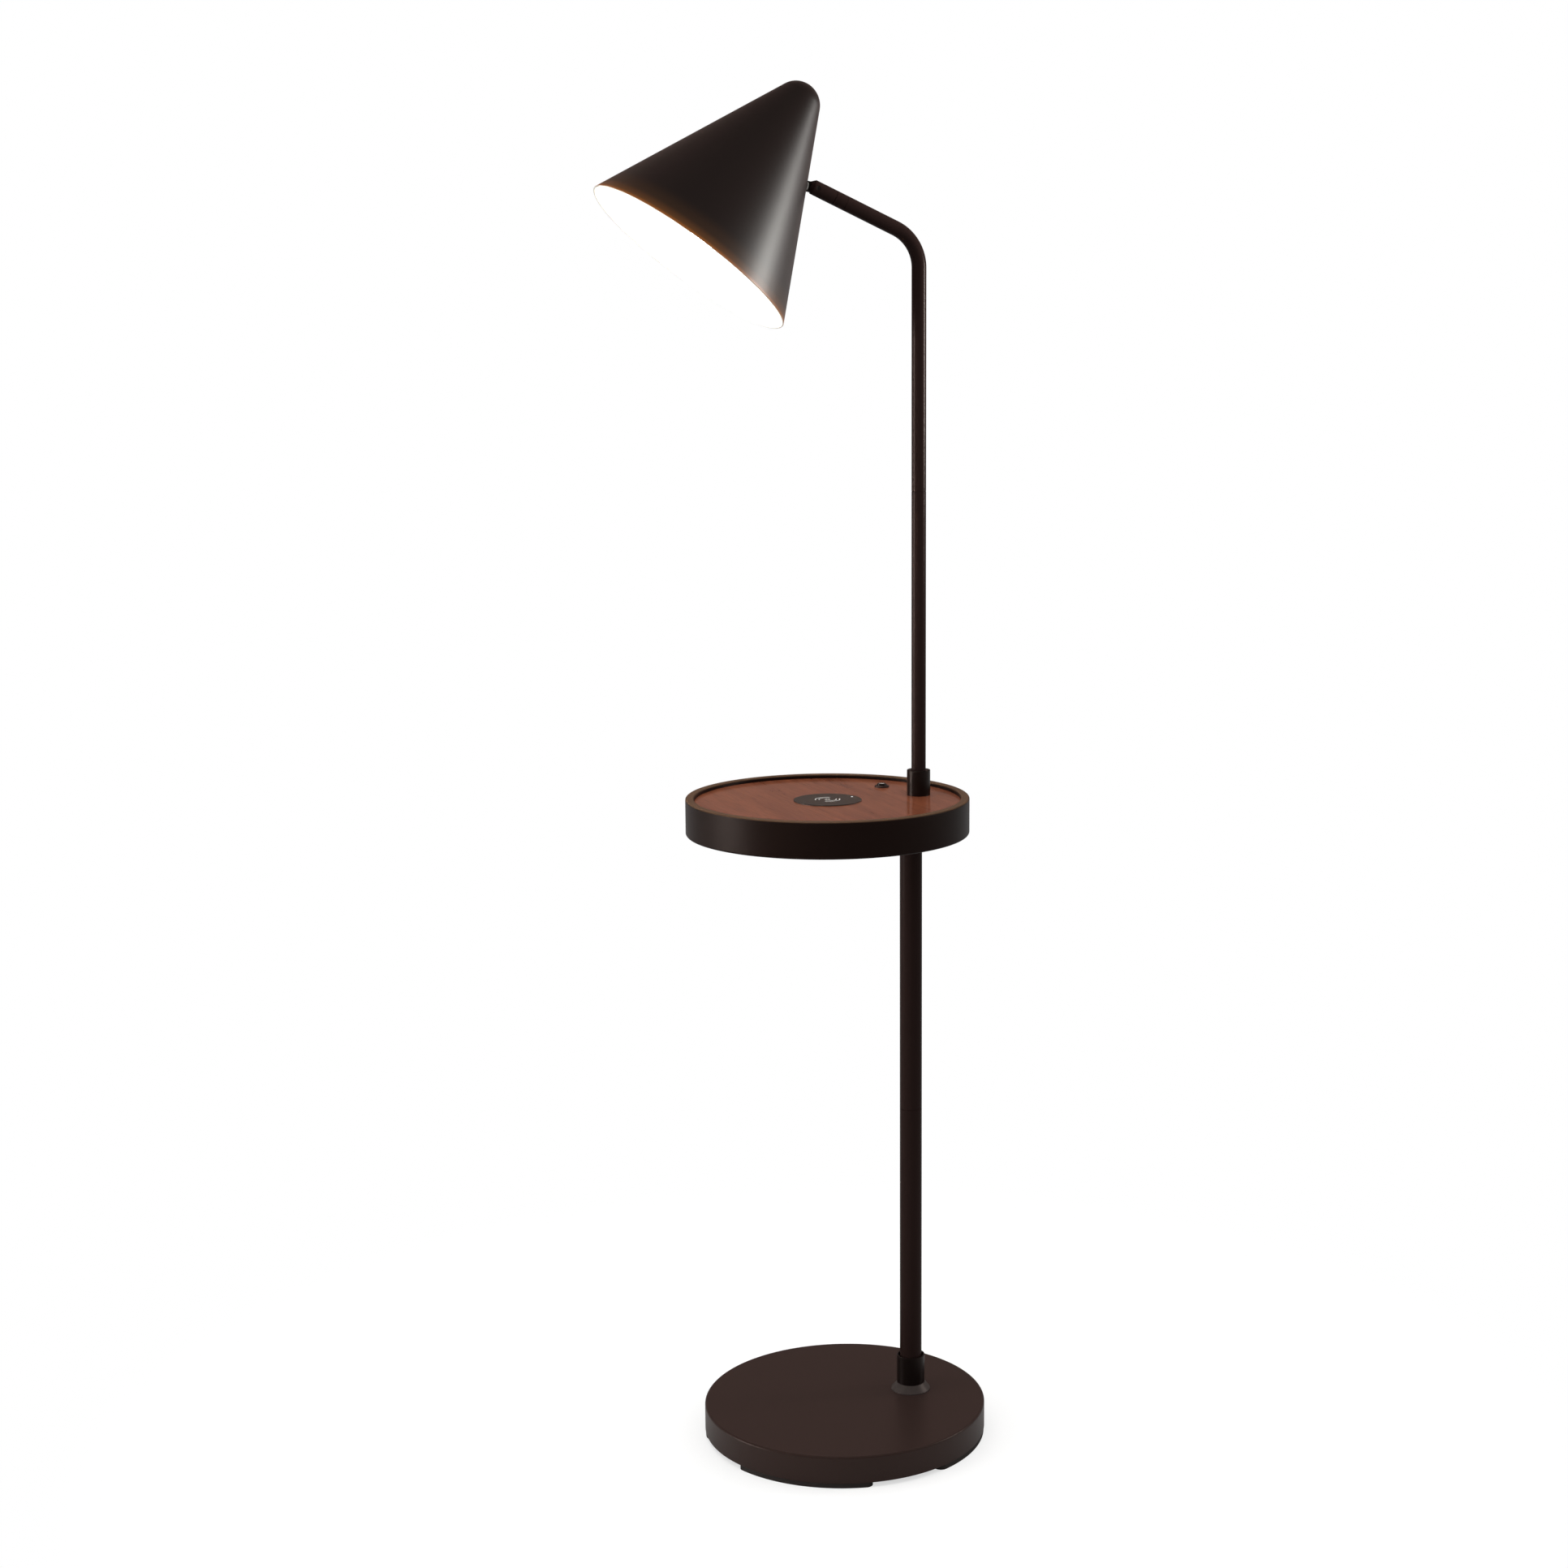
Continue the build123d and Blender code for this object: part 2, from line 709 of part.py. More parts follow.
def shade_tongue():
    """The tongue in the fork, with the stud that goes through the shade's wall."""
    tongue = cross_rod(tongue_width / 2, tongue_thickness / 2)
    tongue += Box(tongue_width, tongue_thickness, tongue_reach - fit, align=ON_FLOOR)
    tongue += rod(stud_radius, tongue_reach - MARGIN, tongue_reach + stud_length)
    return at_stud * (tongue - cross_rod(pin_radius + journal_gap, tongue_thickness))


# Shade and what it holds

def cone(inset):
    """The shade's solid cone with its round tip, inset from the outer face."""
    angle = math.radians(shade_half_angle)
    tip_centre = (shade_radius - shade_tip_radius / math.cos(angle)) / slope
    tip = shade_tip_radius - inset
    rim = shade_radius - inset / math.cos(angle)
    tangent = (tip * math.cos(angle), tip_centre + tip * math.sin(angle))
    outline = [Line((0, 0), (rim, 0)), Line((rim, 0), tangent),
               CenterArc((0, tip_centre), tip, shade_half_angle, 90 - shade_half_angle),
               Line((0, tip_centre + tip), (0, 0))]
    return revolve(Plane.XZ * make_face(outline), Axis.Z)


def shade():
    """The spun cone, with the hole for the stud."""
    stud_hole = at_stud * rod(stud_radius + fit, 0, tongue_reach + stud_length)
    return at_shade * (cone(0) - cone(shade_wall)) - stud_hole


def socket_bracket():
    """The strap inside the shade: a strip along the wall on the stud, and a plate across for the socket."""
    outer = shade_wall + fit
    top = plate_level + bracket_thickness
    strip_bottom = attach_height - bracket_drop
    reach = shade_radius
    side = Pos(0, 0, strip_bottom) * Box(reach, bracket_width, top - strip_bottom,
                                         align=(Align.MIN, Align.CENTER, Align.MIN))
    strip = (cone(outer) - cone(outer + bracket_thickness)) & side
    plate = Pos(-bracket_end, 0, plate_level) * Box(reach, bracket_width, bracket_thickness,
                                                    align=(Align.MIN, Align.CENTER, Align.MIN))
    bracket = strip + (plate & cone(outer)) - rod(threaded_hole, plate_level, top)
    return at_shade * bracket - at_stud * rod(stud_radius + fit, tongue_reach, tongue_reach + stud_length)


def stud_seat():
    """Level on the stud where the washer clears the curve of the strip."""
    curve_radius = attach_radius / math.cos(math.radians(shade_half_angle))
    sag = stud_washer_radius ** 2 / (2 * (curve_radius - stud_washer_radius))
    return tongue_reach + shade_wall + fit + bracket_thickness + sag + fit


def stud_washer():
    """The washer on the stud, inside the shade."""
    seat = stud_seat()
    return at_stud * pipe(stud_washer_radius, stud_radius + fit, seat, seat + stud_washer_thickness)


def stud_nut():
    """The nut on the stud."""
    seat = stud_seat() + stud_washer_thickness
    return at_stud * hex_nut(stud_nut_flats, stud_radius + fit, seat, seat + stud_nut_height)


def lamp_socket():
    """The bulb holder, with a narrower neck under the bracket's plate."""
    shoulder = plate_level - socket_neck_length
    holder = turned((0, socket_mouth), (socket_radius, socket_mouth), (socket_radius, shoulder),
                    (socket_neck_radius, plate_level), (0, plate_level))
    shell_radius = bulb_cap_radius + moving_gap + socket_shell_wall
    holder -= rod(shell_radius + fit, socket_mouth, socket_mouth + socket_cavity_depth)
    return at_shade * (holder - rod(threaded_hole, plate_level - socket_nipple_depth, plate_level))


def socket_shell():
    """The metal sleeve that the bulb's cap screws into."""
    bore = bulb_cap_radius + moving_gap
    return at_shade * pipe(bore + socket_shell_wall, bore, socket_mouth, socket_mouth + socket_cavity_depth)


def socket_nipple():
    """The short hollow rod that holds the socket on the plate."""
    top = plate_level + bracket_thickness + socket_nut_height + nipple_end
    return at_shade * pipe(nipple_radius, nipple_bore, plate_level - socket_nipple_depth, top)


def socket_nut():
    """The nut above the plate."""
    bottom = plate_level + bracket_thickness
    return at_shade * hex_nut(nut_flats, threaded_hole, bottom, bottom + socket_nut_height)


def bulb_levels():
    """Heights of the neck's small end, of its large end and of the globe's centre."""
    angle = math.radians(bulb_cone_angle)
    neck_end = socket_mouth - bulb_neck_gap
    neck_length = (bulb_radius * math.cos(angle) - bulb_neck_radius) / math.tan(angle)
    neck_start = neck_end - neck_length
    return neck_end, neck_start, neck_start - bulb_radius * math.sin(angle)


def bulb_cap():
    """The screw cap, inside the socket."""
    neck_end = bulb_levels()[0]
    return at_shade * rod(bulb_cap_radius, neck_end, neck_end + bulb_cap_length)


def bulb_neck():
    """The bulb's white cone."""
    neck_end, neck_start, _ = bulb_levels()
    wide = bulb_radius * math.cos(math.radians(bulb_cone_angle))
    return at_shade * turned((0, neck_start), (wide, neck_start), (bulb_neck_radius, neck_end), (0, neck_end))


def bulb_globe():
    """The thin round diffuser, open where it meets the neck."""
    _, neck_start, centre = bulb_levels()
    globe = Pos(0, 0, centre) * (Sphere(bulb_radius) - Sphere(bulb_radius - bulb_wall))
    return at_shade * (globe - rod(bulb_radius, neck_start, centre + bulb_radius + MARGIN))


def lamp():
    """Every piece of the lamp under its name; a list is a group of equal pieces."""
    pieces = {
        "base_cover": base_cover(), "base_weight": base_weight(), "base_plate": base_plate(),
        "base_screws": base_screws(), "base_flange": base_flange(), "base_collar": base_collar(),
        "base_nipple": base_nipple(), "base_nut": base_nut(), "base_washer": base_washer(),
        "cord_grommet": cord_grommet(),
        "pole_section_1": pole_section(pole_bottom), "pole_section_2": pole_section(pole_seam),
        "pole_foot": pole_plug(pole_bottom), "pole_head": pole_plug(pole_top - plug_length),
        "pole_coupler": pole_coupler(),
        "shelf_rim": shelf_rim(), "shelf_top": shelf_top(), "shelf_floor": shelf_floor(),
        "shelf_screws": shelf_screws(), "offset_block": offset_block(),
        "shelf_nipple_lower": shelf_nipple_lower(), "shelf_nipple_upper": shelf_nipple_upper(),
        "shelf_collar": shelf_collar(),
        "charger_pad": charger_pad(), "charger_cup": charger_cup(), "charger_coil": charger_coil(),
        "charger_shield": charger_shield(), "charger_board": charger_board(),
        "led_lens": at_shelf * at_led() * led_pin(led_radius),
        "button_bezel": button_bezel(), "button_nut": button_nut(), "switch_body": switch_body(),
        "power_button": power_button(),
        "upper_tube": upper_tube(), "upper_foot": upper_foot(), "upper_coupler": upper_coupler(),
        "arm_tube": arm_tube(),
        "swivel_spindle": swivel_spindle(), "knuckle_barrel": knuckle_barrel(),
        "swivel_screw": swivel_screw(), "tilt_pin": tilt_pin(),
        "friction_washers": friction_washers(), "shade_tongue": shade_tongue(),
        "shade": shade(), "socket_bracket": socket_bracket(), "stud_washer": stud_washer(),
        "stud_nut": stud_nut(), "lamp_socket": lamp_socket(), "socket_shell": socket_shell(),
        "socket_nipple": socket_nipple(), "socket_nut": socket_nut(),
        "bulb_cap": bulb_cap(), "bulb_neck": bulb_neck(), "bulb_globe": bulb_globe(),
    }
    for number, pad in enumerate(foot_pads(), 1):
        pieces[f"foot_pad_{number}"] = pad
    return pieces


os.makedirs("parts", exist_ok=True)
for name, piece in lamp().items():
    group = piece if isinstance(piece, list) else [piece]
    solids = [solid for member in group for solid in member.solids()]
    export_step(Compound(children=solids, label=name), f"parts/{name}.step")
print("shade rim centre", at_shade.position, "tilt pin", at_pin.position)
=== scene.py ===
# %% [markdown]
# # Shelf floor lamp: surfaces, lights and camera
#
# The lamp's solids come from CAD and are already in place: a weighted base, a pole, a round tray of
# red-brown wood with a charger pad and a push button, a thin bent arm and a cone shade on a swivel-and-tilt
# knuckle. This lesson dresses them. Each finish is made of shader nodes. The shade, the base's shell, the
# tubes and the other large round pieces are turned again with more detail than a solid needs, and so are
# the screws. All the other solids keep their own mesh.

# %% Load the lamp's solids
import bmesh
import bpy
import json
import math
from mathutils import Matrix, Vector


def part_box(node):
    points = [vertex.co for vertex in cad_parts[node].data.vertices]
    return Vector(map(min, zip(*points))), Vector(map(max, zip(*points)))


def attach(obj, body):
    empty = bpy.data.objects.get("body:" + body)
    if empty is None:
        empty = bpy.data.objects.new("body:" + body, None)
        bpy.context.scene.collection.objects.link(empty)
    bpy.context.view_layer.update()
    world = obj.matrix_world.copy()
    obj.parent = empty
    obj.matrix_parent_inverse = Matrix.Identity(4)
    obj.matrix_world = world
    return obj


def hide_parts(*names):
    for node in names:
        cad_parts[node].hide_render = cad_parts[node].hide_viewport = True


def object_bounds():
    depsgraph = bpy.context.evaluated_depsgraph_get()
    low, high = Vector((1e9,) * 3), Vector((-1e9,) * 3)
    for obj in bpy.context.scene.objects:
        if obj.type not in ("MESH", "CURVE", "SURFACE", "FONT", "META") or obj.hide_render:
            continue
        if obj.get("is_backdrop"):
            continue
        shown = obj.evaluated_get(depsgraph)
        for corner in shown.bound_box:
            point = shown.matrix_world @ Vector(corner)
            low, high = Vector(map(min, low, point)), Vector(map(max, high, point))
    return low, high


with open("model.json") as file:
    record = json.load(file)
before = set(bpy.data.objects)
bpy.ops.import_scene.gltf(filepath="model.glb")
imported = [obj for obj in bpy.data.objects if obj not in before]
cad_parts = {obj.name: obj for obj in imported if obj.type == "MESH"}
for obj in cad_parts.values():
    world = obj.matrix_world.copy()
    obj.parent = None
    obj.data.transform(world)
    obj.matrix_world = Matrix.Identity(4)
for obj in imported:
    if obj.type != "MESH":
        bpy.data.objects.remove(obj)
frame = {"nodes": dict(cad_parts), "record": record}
cad_box = [list(corner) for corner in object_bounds()]
solids = frame["nodes"]
slot_of = {part["node"]: part["material_slot"] for part in frame["record"]["subparts"]}
print("solids:", len(solids), "box in metres:", [[round(v, 3) for v in corner] for corner in cad_box])

# %% [markdown]
# ## The camera
#
# The picture was taken from about half a metre above the tray, looking slightly down, with the lamp's arm
# turned about 20 degrees out of the picture's plane. A lens a little longer than a normal one keeps the
# pole nearly upright. The lens shift stands for a picture that was cropped off-centre, so the pole keeps
# its slant.

# %% Camera
look_down, look_right = math.radians(9.661), math.radians(19.942)
camera_data = bpy.data.cameras.new("camera")
camera_data.lens = 57.41
camera_data.sensor_width = 36.0
camera_data.shift_x = -0.0773
camera_data.shift_y = -0.0006
camera = bpy.data.objects.new("camera", camera_data)
camera.location = (-0.8599, -2.5732, 1.2130)
camera.rotation_euler = (math.pi / 2 - look_down, 0, -look_right)
bpy.context.scene.collection.objects.link(camera)
bpy.context.scene.camera = camera
print("camera at", [round(v, 3) for v in camera.location])

# %% [markdown]
# ## Colours and nodes
#
# A colour is easiest to read off a screen, from 0 to 255, while shaders work with linear light. Node trees
# take many lines to write down, so a few helpers add a node, set it up and link it in one call.

# %% Helpers for colours and nodes
def srgb(red, green, blue):
    """A colour as it is read off a screen, from 0 to 255, as the linear values that shaders use."""
    shares = (red / 255, green / 255, blue / 255)
    return (*[((v + 0.055) / 1.055) ** 2.4 if v > 0.04045 else v / 12.92 for v in shares], 1.0)


def add(tree, kind, inputs=None, **settings):
    """Add a node, set its settings, and give each named input a value or the socket that feeds it."""
    node = tree.nodes.new(kind)
    for name, value in settings.items():
        setattr(node, name, value)
    for name, value in (inputs or {}).items():
        if isinstance(value, bpy.types.NodeSocket):
            tree.links.new(value, node.inputs[name])
        else:
            node.inputs[name].default_value = value
    return node


def maths(tree, operation, *values, **settings):
    """What a Math node makes of these numbers and sockets."""
    return add(tree, "ShaderNodeMath", dict(enumerate(values)), operation=operation, **settings).outputs[0]


def between(tree, value, start, end, low=0.0, high=1.0, smooth=False):
    """A value that goes from low to high while the first one goes from start to end."""
    limits = {"From Min": start, "From Max": end, "To Min": low, "To Max": high}
    course = add(tree, "ShaderNodeMapRange", {"Value": value, **limits})
    course.interpolation_type = "SMOOTHSTEP" if smooth else "LINEAR"
    return course.outputs["Result"]


print("screen grey 128 is", round(srgb(128, 128, 128)[0], 3), "in linear light")

# %% [markdown]
# ## Light
#
# A dark satin lamp is drawn by what it mirrors, so the lights are of two kinds. Two broad softboxes, on the
# left and overhead, light the surfaces and are kept out of reflections. Four narrow ones are mirrored. From
# the right, one draws the long highlight down the shade, and a weak one adds sheen to the base. From the
# left, a low and a high one draw a thin bright line along the pole and the tube.

# %% Softboxes
def softbox(name, place, aim, width, height, power, spread=180, mirrored=False):
    """A rectangular lamp aimed at a point. A grid can narrow its spread, in degrees."""
    data = bpy.data.lights.new(name, "AREA")
    data.shape = "RECTANGLE"
    data.size, data.size_y = width, height
    data.energy = power
    data.color = (1.0, 0.98, 0.94)
    data.spread = math.radians(spread)
    light = bpy.data.objects.new(name, data)
    light.location = place
    light.rotation_euler = (Vector(aim) - Vector(place)).to_track_quat("-Z", "Y").to_euler()
    light.visible_glossy = mirrored
    bpy.context.scene.collection.objects.link(light)


softbox("shade_softbox", (2.2, -0.6, 1.28), (-0.1, 0, 1.38), 0.8, 0.55, 2.6, 30, mirrored=True)
softbox("base_softbox", (2.2, -0.3, 1.3), (0.05, -0.05, 0.03), 0.5, 0.5, 0.22, 24, mirrored=True)
softbox("low_softbox", (-2.4, 0.5, 0.55), (0.05, 0, 0.5), 1.4, 0.7, 2.2, 42, mirrored=True)
softbox("high_softbox", (-2.4, 0.5, 1.2), (0.09, 0, 1.15), 0.5, 0.9, 0.9, 20, mirrored=True)
softbox("side_softbox", (-2.4, -0.4, 1.3), (0, 0, 0.9), 0.6, 1.8, 8.5)
softbox("overhead_softbox", (-0.2, 0.2, 3.0), (0, 0, 0.6), 2.4, 2.4, 30)

# %% [markdown]
# ## The white room
#
# The camera sees plain white. Mirrored rays see a dim and warm room that is a little brighter behind the
# lamp, so paint stays dark and brown where it mirrors. All the other rays meet a soft fill, brighter from
# above and below, so the white background costs no extra light on the lamp.

# %% World
backdrop = (0.341, 0.940, 0.0)      # level direction from the camera to the lamp and the white behind it
room_tint = (1.0, 0.72, 0.64, 1)
room_aside, room_behind = 0.04, 0.18      # share of the white that reflections show
level_fill, steep_fill = 0.17, 0.9        # strength of the fill from the side, and from above and below


def seen_white(tree, path, outward):
    """How white a ray finds the background: fully for the camera and through glass, partly in reflections."""
    facing = add(tree, "ShaderNodeVectorMath", {0: outward, 1: backdrop}, operation="DOT_PRODUCT")
    behind = between(tree, facing.outputs["Value"], 0.3, 0.9, room_aside, room_behind, smooth=True)
    mirrored = maths(tree, "MULTIPLY", path["Is Glossy Ray"], behind)
    direct = maths(tree, "MAXIMUM", path["Is Camera Ray"], path["Is Transmission Ray"])
    return maths(tree, "MAXIMUM", direct, mirrored)


world = bpy.data.worlds.new("white_room")
world.use_nodes = True
room = world.node_tree
room.nodes.clear()
path = room.nodes.new("ShaderNodeLightPath").outputs
outward = room.nodes.new("ShaderNodeTexCoord").outputs["Generated"]
upward = add(room, "ShaderNodeSeparateXYZ", {"Vector": outward}).outputs["Z"]
fill = between(room, maths(room, "ABSOLUTE", upward), 0.0, 1.0, level_fill, steep_fill)
unmirrored = between(room, path["Is Glossy Ray"], 0.0, 1.0, fill, 0.0)
strength = maths(room, "MAXIMUM", seen_white(room, path, outward), unmirrored)
cast = add(room, "ShaderNodeMix", {0: path["Is Glossy Ray"], 6: (1, 1, 1, 1), 7: room_tint}, data_type="RGBA")
glowing = add(room, "ShaderNodeBackground", {"Color": cast.outputs[2], "Strength": strength})
add(room, "ShaderNodeOutputWorld", {"Surface": glowing.outputs[0]})
bpy.context.scene.world = world
bpy.context.scene.view_settings.view_transform = "Standard"
print("white room:", len(room.nodes), "nodes")

# %% [markdown]
# ## The floor
#
# Near the lamp the floor is real and keeps its shadow. Further out it fades into the white. From below it
# can be looked through, and under the base it lets light pass, so that the plate and the feet aren't black
# from below.

# %% Floor with a soft shadow
floor_half = 30.0                                            # metres
shadow_reach, white_reach, under_base = 0.35, 0.9, 0.14      # metres from the middle of the base
floor_grey, floor_lift = (0.45, 0.45, 0.45, 1), 0.62         # its colour, and the white added to it
floor_corners = [(x * floor_half, y * floor_half, 0) for x, y in ((-1, -1), (1, -1), (1, 1), (-1, 1))]
floor_mesh = bpy.data.meshes.new("floor")
floor_mesh.from_pydata(floor_corners, [], [(0, 1, 2, 3)])
floor = bpy.data.objects.new("floor", floor_mesh)
bpy.context.scene.collection.objects.link(floor)

floor_paint = bpy.data.materials.new("floor_paint")
floor_paint.use_nodes = True
tree = floor_paint.node_tree
tree.nodes.clear()
path = tree.nodes.new("ShaderNodeLightPath").outputs
coords = tree.nodes.new("ShaderNodeTexCoord").outputs["Object"]
shown = seen_white(tree, path, coords)
matt = add(tree, "ShaderNodeBsdfDiffuse", {"Color": floor_grey}).outputs[0]
raised = add(tree, "ShaderNodeEmission", {"Strength": maths(tree, "MULTIPLY", shown, floor_lift)}).outputs[0]
near = add(tree, "ShaderNodeAddShader", {0: matt, 1: raised}).outputs[0]
plain_white = add(tree, "ShaderNodeEmission", {"Strength": 1.0}).outputs[0]
far = add(tree, "ShaderNodeMixShader", {0: shown, 1: matt, 2: plain_white}).outputs[0]
reach = add(tree, "ShaderNodeVectorMath", {0: coords}, operation="LENGTH").outputs["Value"]
fade = between(tree, reach, shadow_reach, white_reach, smooth=True)
both = add(tree, "ShaderNodeMixShader", {0: fade, 1: near, 2: far}).outputs[0]
bounced = maths(tree, "MAXIMUM", path["Is Diffuse Ray"], path["Is Shadow Ray"])
hidden = maths(tree, "LESS_THAN", reach, under_base)
from_below = tree.nodes.new("ShaderNodeNewGeometry").outputs["Backfacing"]
opened = maths(tree, "MULTIPLY_ADD", bounced, hidden, from_below, use_clamp=True)
clear = tree.nodes.new("ShaderNodeBsdfTransparent").outputs[0]
one_sided = add(tree, "ShaderNodeMixShader", {0: opened, 1: both, 2: clear}).outputs[0]
add(tree, "ShaderNodeOutputMaterial", {"Surface": one_sided})
floor_mesh.materials.append(floor_paint)
floor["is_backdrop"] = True
print("floor: real within", shadow_reach, "m, white beyond", white_reach, "m")

# %% [markdown]
# ## Surface effects that several finishes share
#
# Sprayed paint, moulded plastic and rubber all have a fine skin: tiny bumps, and a gloss that drifts a
# little from place to place. Metal that was turned on a lathe has fine rings round its axis. Each effect is
# one node group, and each finish gives it its own scale. The group hands out heights and values that change
# over the surface. The shader itself stays in the material.

# %% Shared effects: fine skin and turned rings
def effect(name, inputs, outputs):
    """An empty shader group with named sockets, the sockets it is given, and those it makes."""
    group = bpy.data.node_groups.new(name, "ShaderNodeTree")
    for label, kind, value in inputs:
        socket = group.interface.new_socket(label, in_out="INPUT", socket_type="NodeSocket" + kind)
        if value is not None:
            socket.default_value = value
    for label, kind in outputs:
        group.interface.new_socket(label, in_out="OUTPUT", socket_type="NodeSocket" + kind)
    return group, group.nodes.new("NodeGroupInput").outputs, group.nodes.new("NodeGroupOutput").inputs


skin, given, made = effect(
    "fine_skin",
    [("Vector", "Vector", None), ("Bumps per Metre", "Float", 900.0), ("Roughness", "Float", 0.4),
     ("Drift", "Float", 0.05), ("Tint", "Color", (0.03, 0.02, 0.02, 1)), ("Tint Drift", "Float", 0.1)],
    [("Height", "Float"), ("Roughness", "Float"), ("Color", "Color")])
bumps = add(skin, "ShaderNodeTexNoise", {"Vector": given["Vector"], "Scale": given["Bumps per Metre"],
                                         "Detail": 2.0, "Roughness": 0.6})
clouds = add(skin, "ShaderNodeTexNoise", {"Vector": given["Vector"], "Scale": 9.0, "Detail": 4.0})
swing = maths(skin, "SUBTRACT", clouds.outputs["Fac"], 0.5)
gloss = maths(skin, "MULTIPLY_ADD", swing, given["Drift"], given["Roughness"])
tone = maths(skin, "MULTIPLY_ADD", swing, given["Tint Drift"], 1.0)
tinted = add(skin, "ShaderNodeVectorMath", {0: given["Tint"], "Scale": tone}, operation="SCALE")
skin.links.new(bumps.outputs["Fac"], made["Height"])
skin.links.new(gloss, made["Roughness"])
skin.links.new(tinted.outputs[0], made["Color"])

rings, given, made = effect(
    "turned_rings",
    [("Vector", "Vector", None), ("Rings per Metre", "Float", 1500.0), ("Roughness", "Float", 0.4),
     ("Drift", "Float", 0.1)],
    [("Height", "Float"), ("Roughness", "Float")])
height = add(rings, "ShaderNodeSeparateXYZ", {"Vector": given["Vector"]}).outputs["Z"]
along = maths(rings, "MULTIPLY", height, given["Rings per Metre"])
lines = add(rings, "ShaderNodeTexNoise", {"W": along, "Scale": 1.0, "Detail": 3.0, "Roughness": 0.7},
            noise_dimensions="1D")
swing = maths(rings, "SUBTRACT", lines.outputs["Fac"], 0.5)
gloss = maths(rings, "MULTIPLY_ADD", swing, given["Drift"], given["Roughness"])
rings.links.new(lines.outputs["Fac"], made["Height"])
rings.links.new(gloss, made["Roughness"])
print("effects:", [g.name for g in bpy.data.node_groups])

# %% Start of a finish
finishes = {}


def new_finish(slot, **sockets):
    """A material with a Principled shader whose plain values are set on its own sockets."""
    material = bpy.data.materials.new(slot)
    material.use_nodes = True
    tree = material.node_tree
    shader = tree.nodes["Principled BSDF"]
    for label, value in sockets.items():
        shader.inputs[label.replace("_", " ")].default_value = value
    finishes[slot] = material
    return tree, shader, tree.nodes.new("ShaderNodeTexCoord").outputs["Object"]


def lay_effect(tree, shader, effect_tree, depth, inputs):
    """Place a shared effect in a finish and link its gloss and its bumps, whose depth is in metres."""
    group = add(tree, "ShaderNodeGroup", inputs, node_tree=effect_tree)
    relief = add(tree, "ShaderNodeBump", {"Height": group.outputs["Height"], "Distance": depth,
                                          "Strength": 1.0})
    tree.links.new(group.outputs["Roughness"], shader.inputs["Roughness"])
    tree.links.new(relief.outputs["Normal"], shader.inputs["Normal"])
    return group


def lay_rings(tree, shader, vector, per_metre, roughness, depth, drift):
    """Lay turned rings on a finish, round the Z axis of the vector it is given."""
    lay_effect(tree, shader, rings, depth, {"Vector": vector, "Rings per Metre": per_metre,
                                            "Roughness": roughness, "Drift": drift})


def coated(slot, tint, per_metre, roughness, depth, drift=0.06, tint_drift=0.12, **sockets):
    """A finish with the fine skin: its colour, bumps per metre, gloss, and the bumps' depth in metres."""
    tree, shader, coords = new_finish(slot, **sockets)
    group = lay_effect(tree, shader, skin, depth, {
        "Vector": coords, "Bumps per Metre": per_metre, "Roughness": roughness, "Drift": drift, "Tint": tint,
        "Tint Drift": tint_drift})
    tree.links.new(group.outputs["Color"], shader.inputs["Base Color"])
    return tree, coords, group


print("ready for finishes")

# %% [markdown]
# ## Black-brown paint
#
# The base, the tubes and the tray's rim are sprayed nearly black with some brown in it, satin, with the
# faint orange peel of a sprayed surface. The coats differ a little. The base mirrors more of the room, so
# the pole shows in it as a dark smear. The tubes and the rim mirror little and stay dark beside their
# bright lines. The tubes' copy of the paint is darker than the base's, as painted shade on their upright
# sides, and the rim's top face is painted lighter and warmer, as painted light from the lamp falling on it.
# The collars are the darkest, and the flange on the base is a satin grey.

# %% Paint of the base, tubes, rim and collars
warm = (1.0, 0.78, 0.72, 1)      # tint of what the brown coats mirror
peel = 1400.0                    # bumps per metre of the orange peel
coated("black_paint", srgb(51, 38, 35), peel, 0.34, 0.00002, Specular_IOR_Level=0.3, Specular_Tint=warm)
# the tubes' paint: the base's paint made darker, as painted shade on their upright sides
coated("tube_paint", srgb(42, 30, 28), peel, 0.25, 0.00002, Specular_IOR_Level=0.04, Specular_Tint=warm)

# painted light: the rim's top face is made lighter and warmer, in place of the lamp's light falling on it
rim_brown, painted_light_top_brown = srgb(28, 18, 15), srgb(92, 70, 54)
rim_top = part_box("shelf_rim")[1][2]
painted_light_start, painted_light_end = rim_top - 0.0019, rim_top - 0.0001
tree, coords, coat = coated("rim_paint", rim_brown, 900.0, 0.38, 0.00003, Specular_IOR_Level=0.08,
                            Specular_Tint=warm)
height = add(tree, "ShaderNodeSeparateXYZ", {"Vector": coords}).outputs["Z"]
painted_light_top = between(tree, height, painted_light_start, painted_light_end, smooth=True)
top_light_tint = add(tree, "ShaderNodeMix", {0: painted_light_top, 6: rim_brown, 7: painted_light_top_brown}, data_type="RGBA")
tree.links.new(top_light_tint.outputs[2], coat.inputs["Tint"])

coated("collar_paint", srgb(22, 16, 15), peel, 0.3, 0.00002, Specular_IOR_Level=0.25, Specular_Tint=warm)
coated("flange_satin", srgb(64, 58, 56), peel, 0.45, 0.00002, Specular_IOR_Level=0.4, Specular_Tint=warm)
print("paints:", sorted(finishes))

# %% [markdown]
# ## The wooden tray
#
# The tray's panel is a red-brown veneer under a lacquer. Wood grain is noise that was stretched a long way
# in one direction: broad soft bands, and fine dark pores between them. The lacquer is the shader's coat
# layer, smooth enough to mirror the collar.

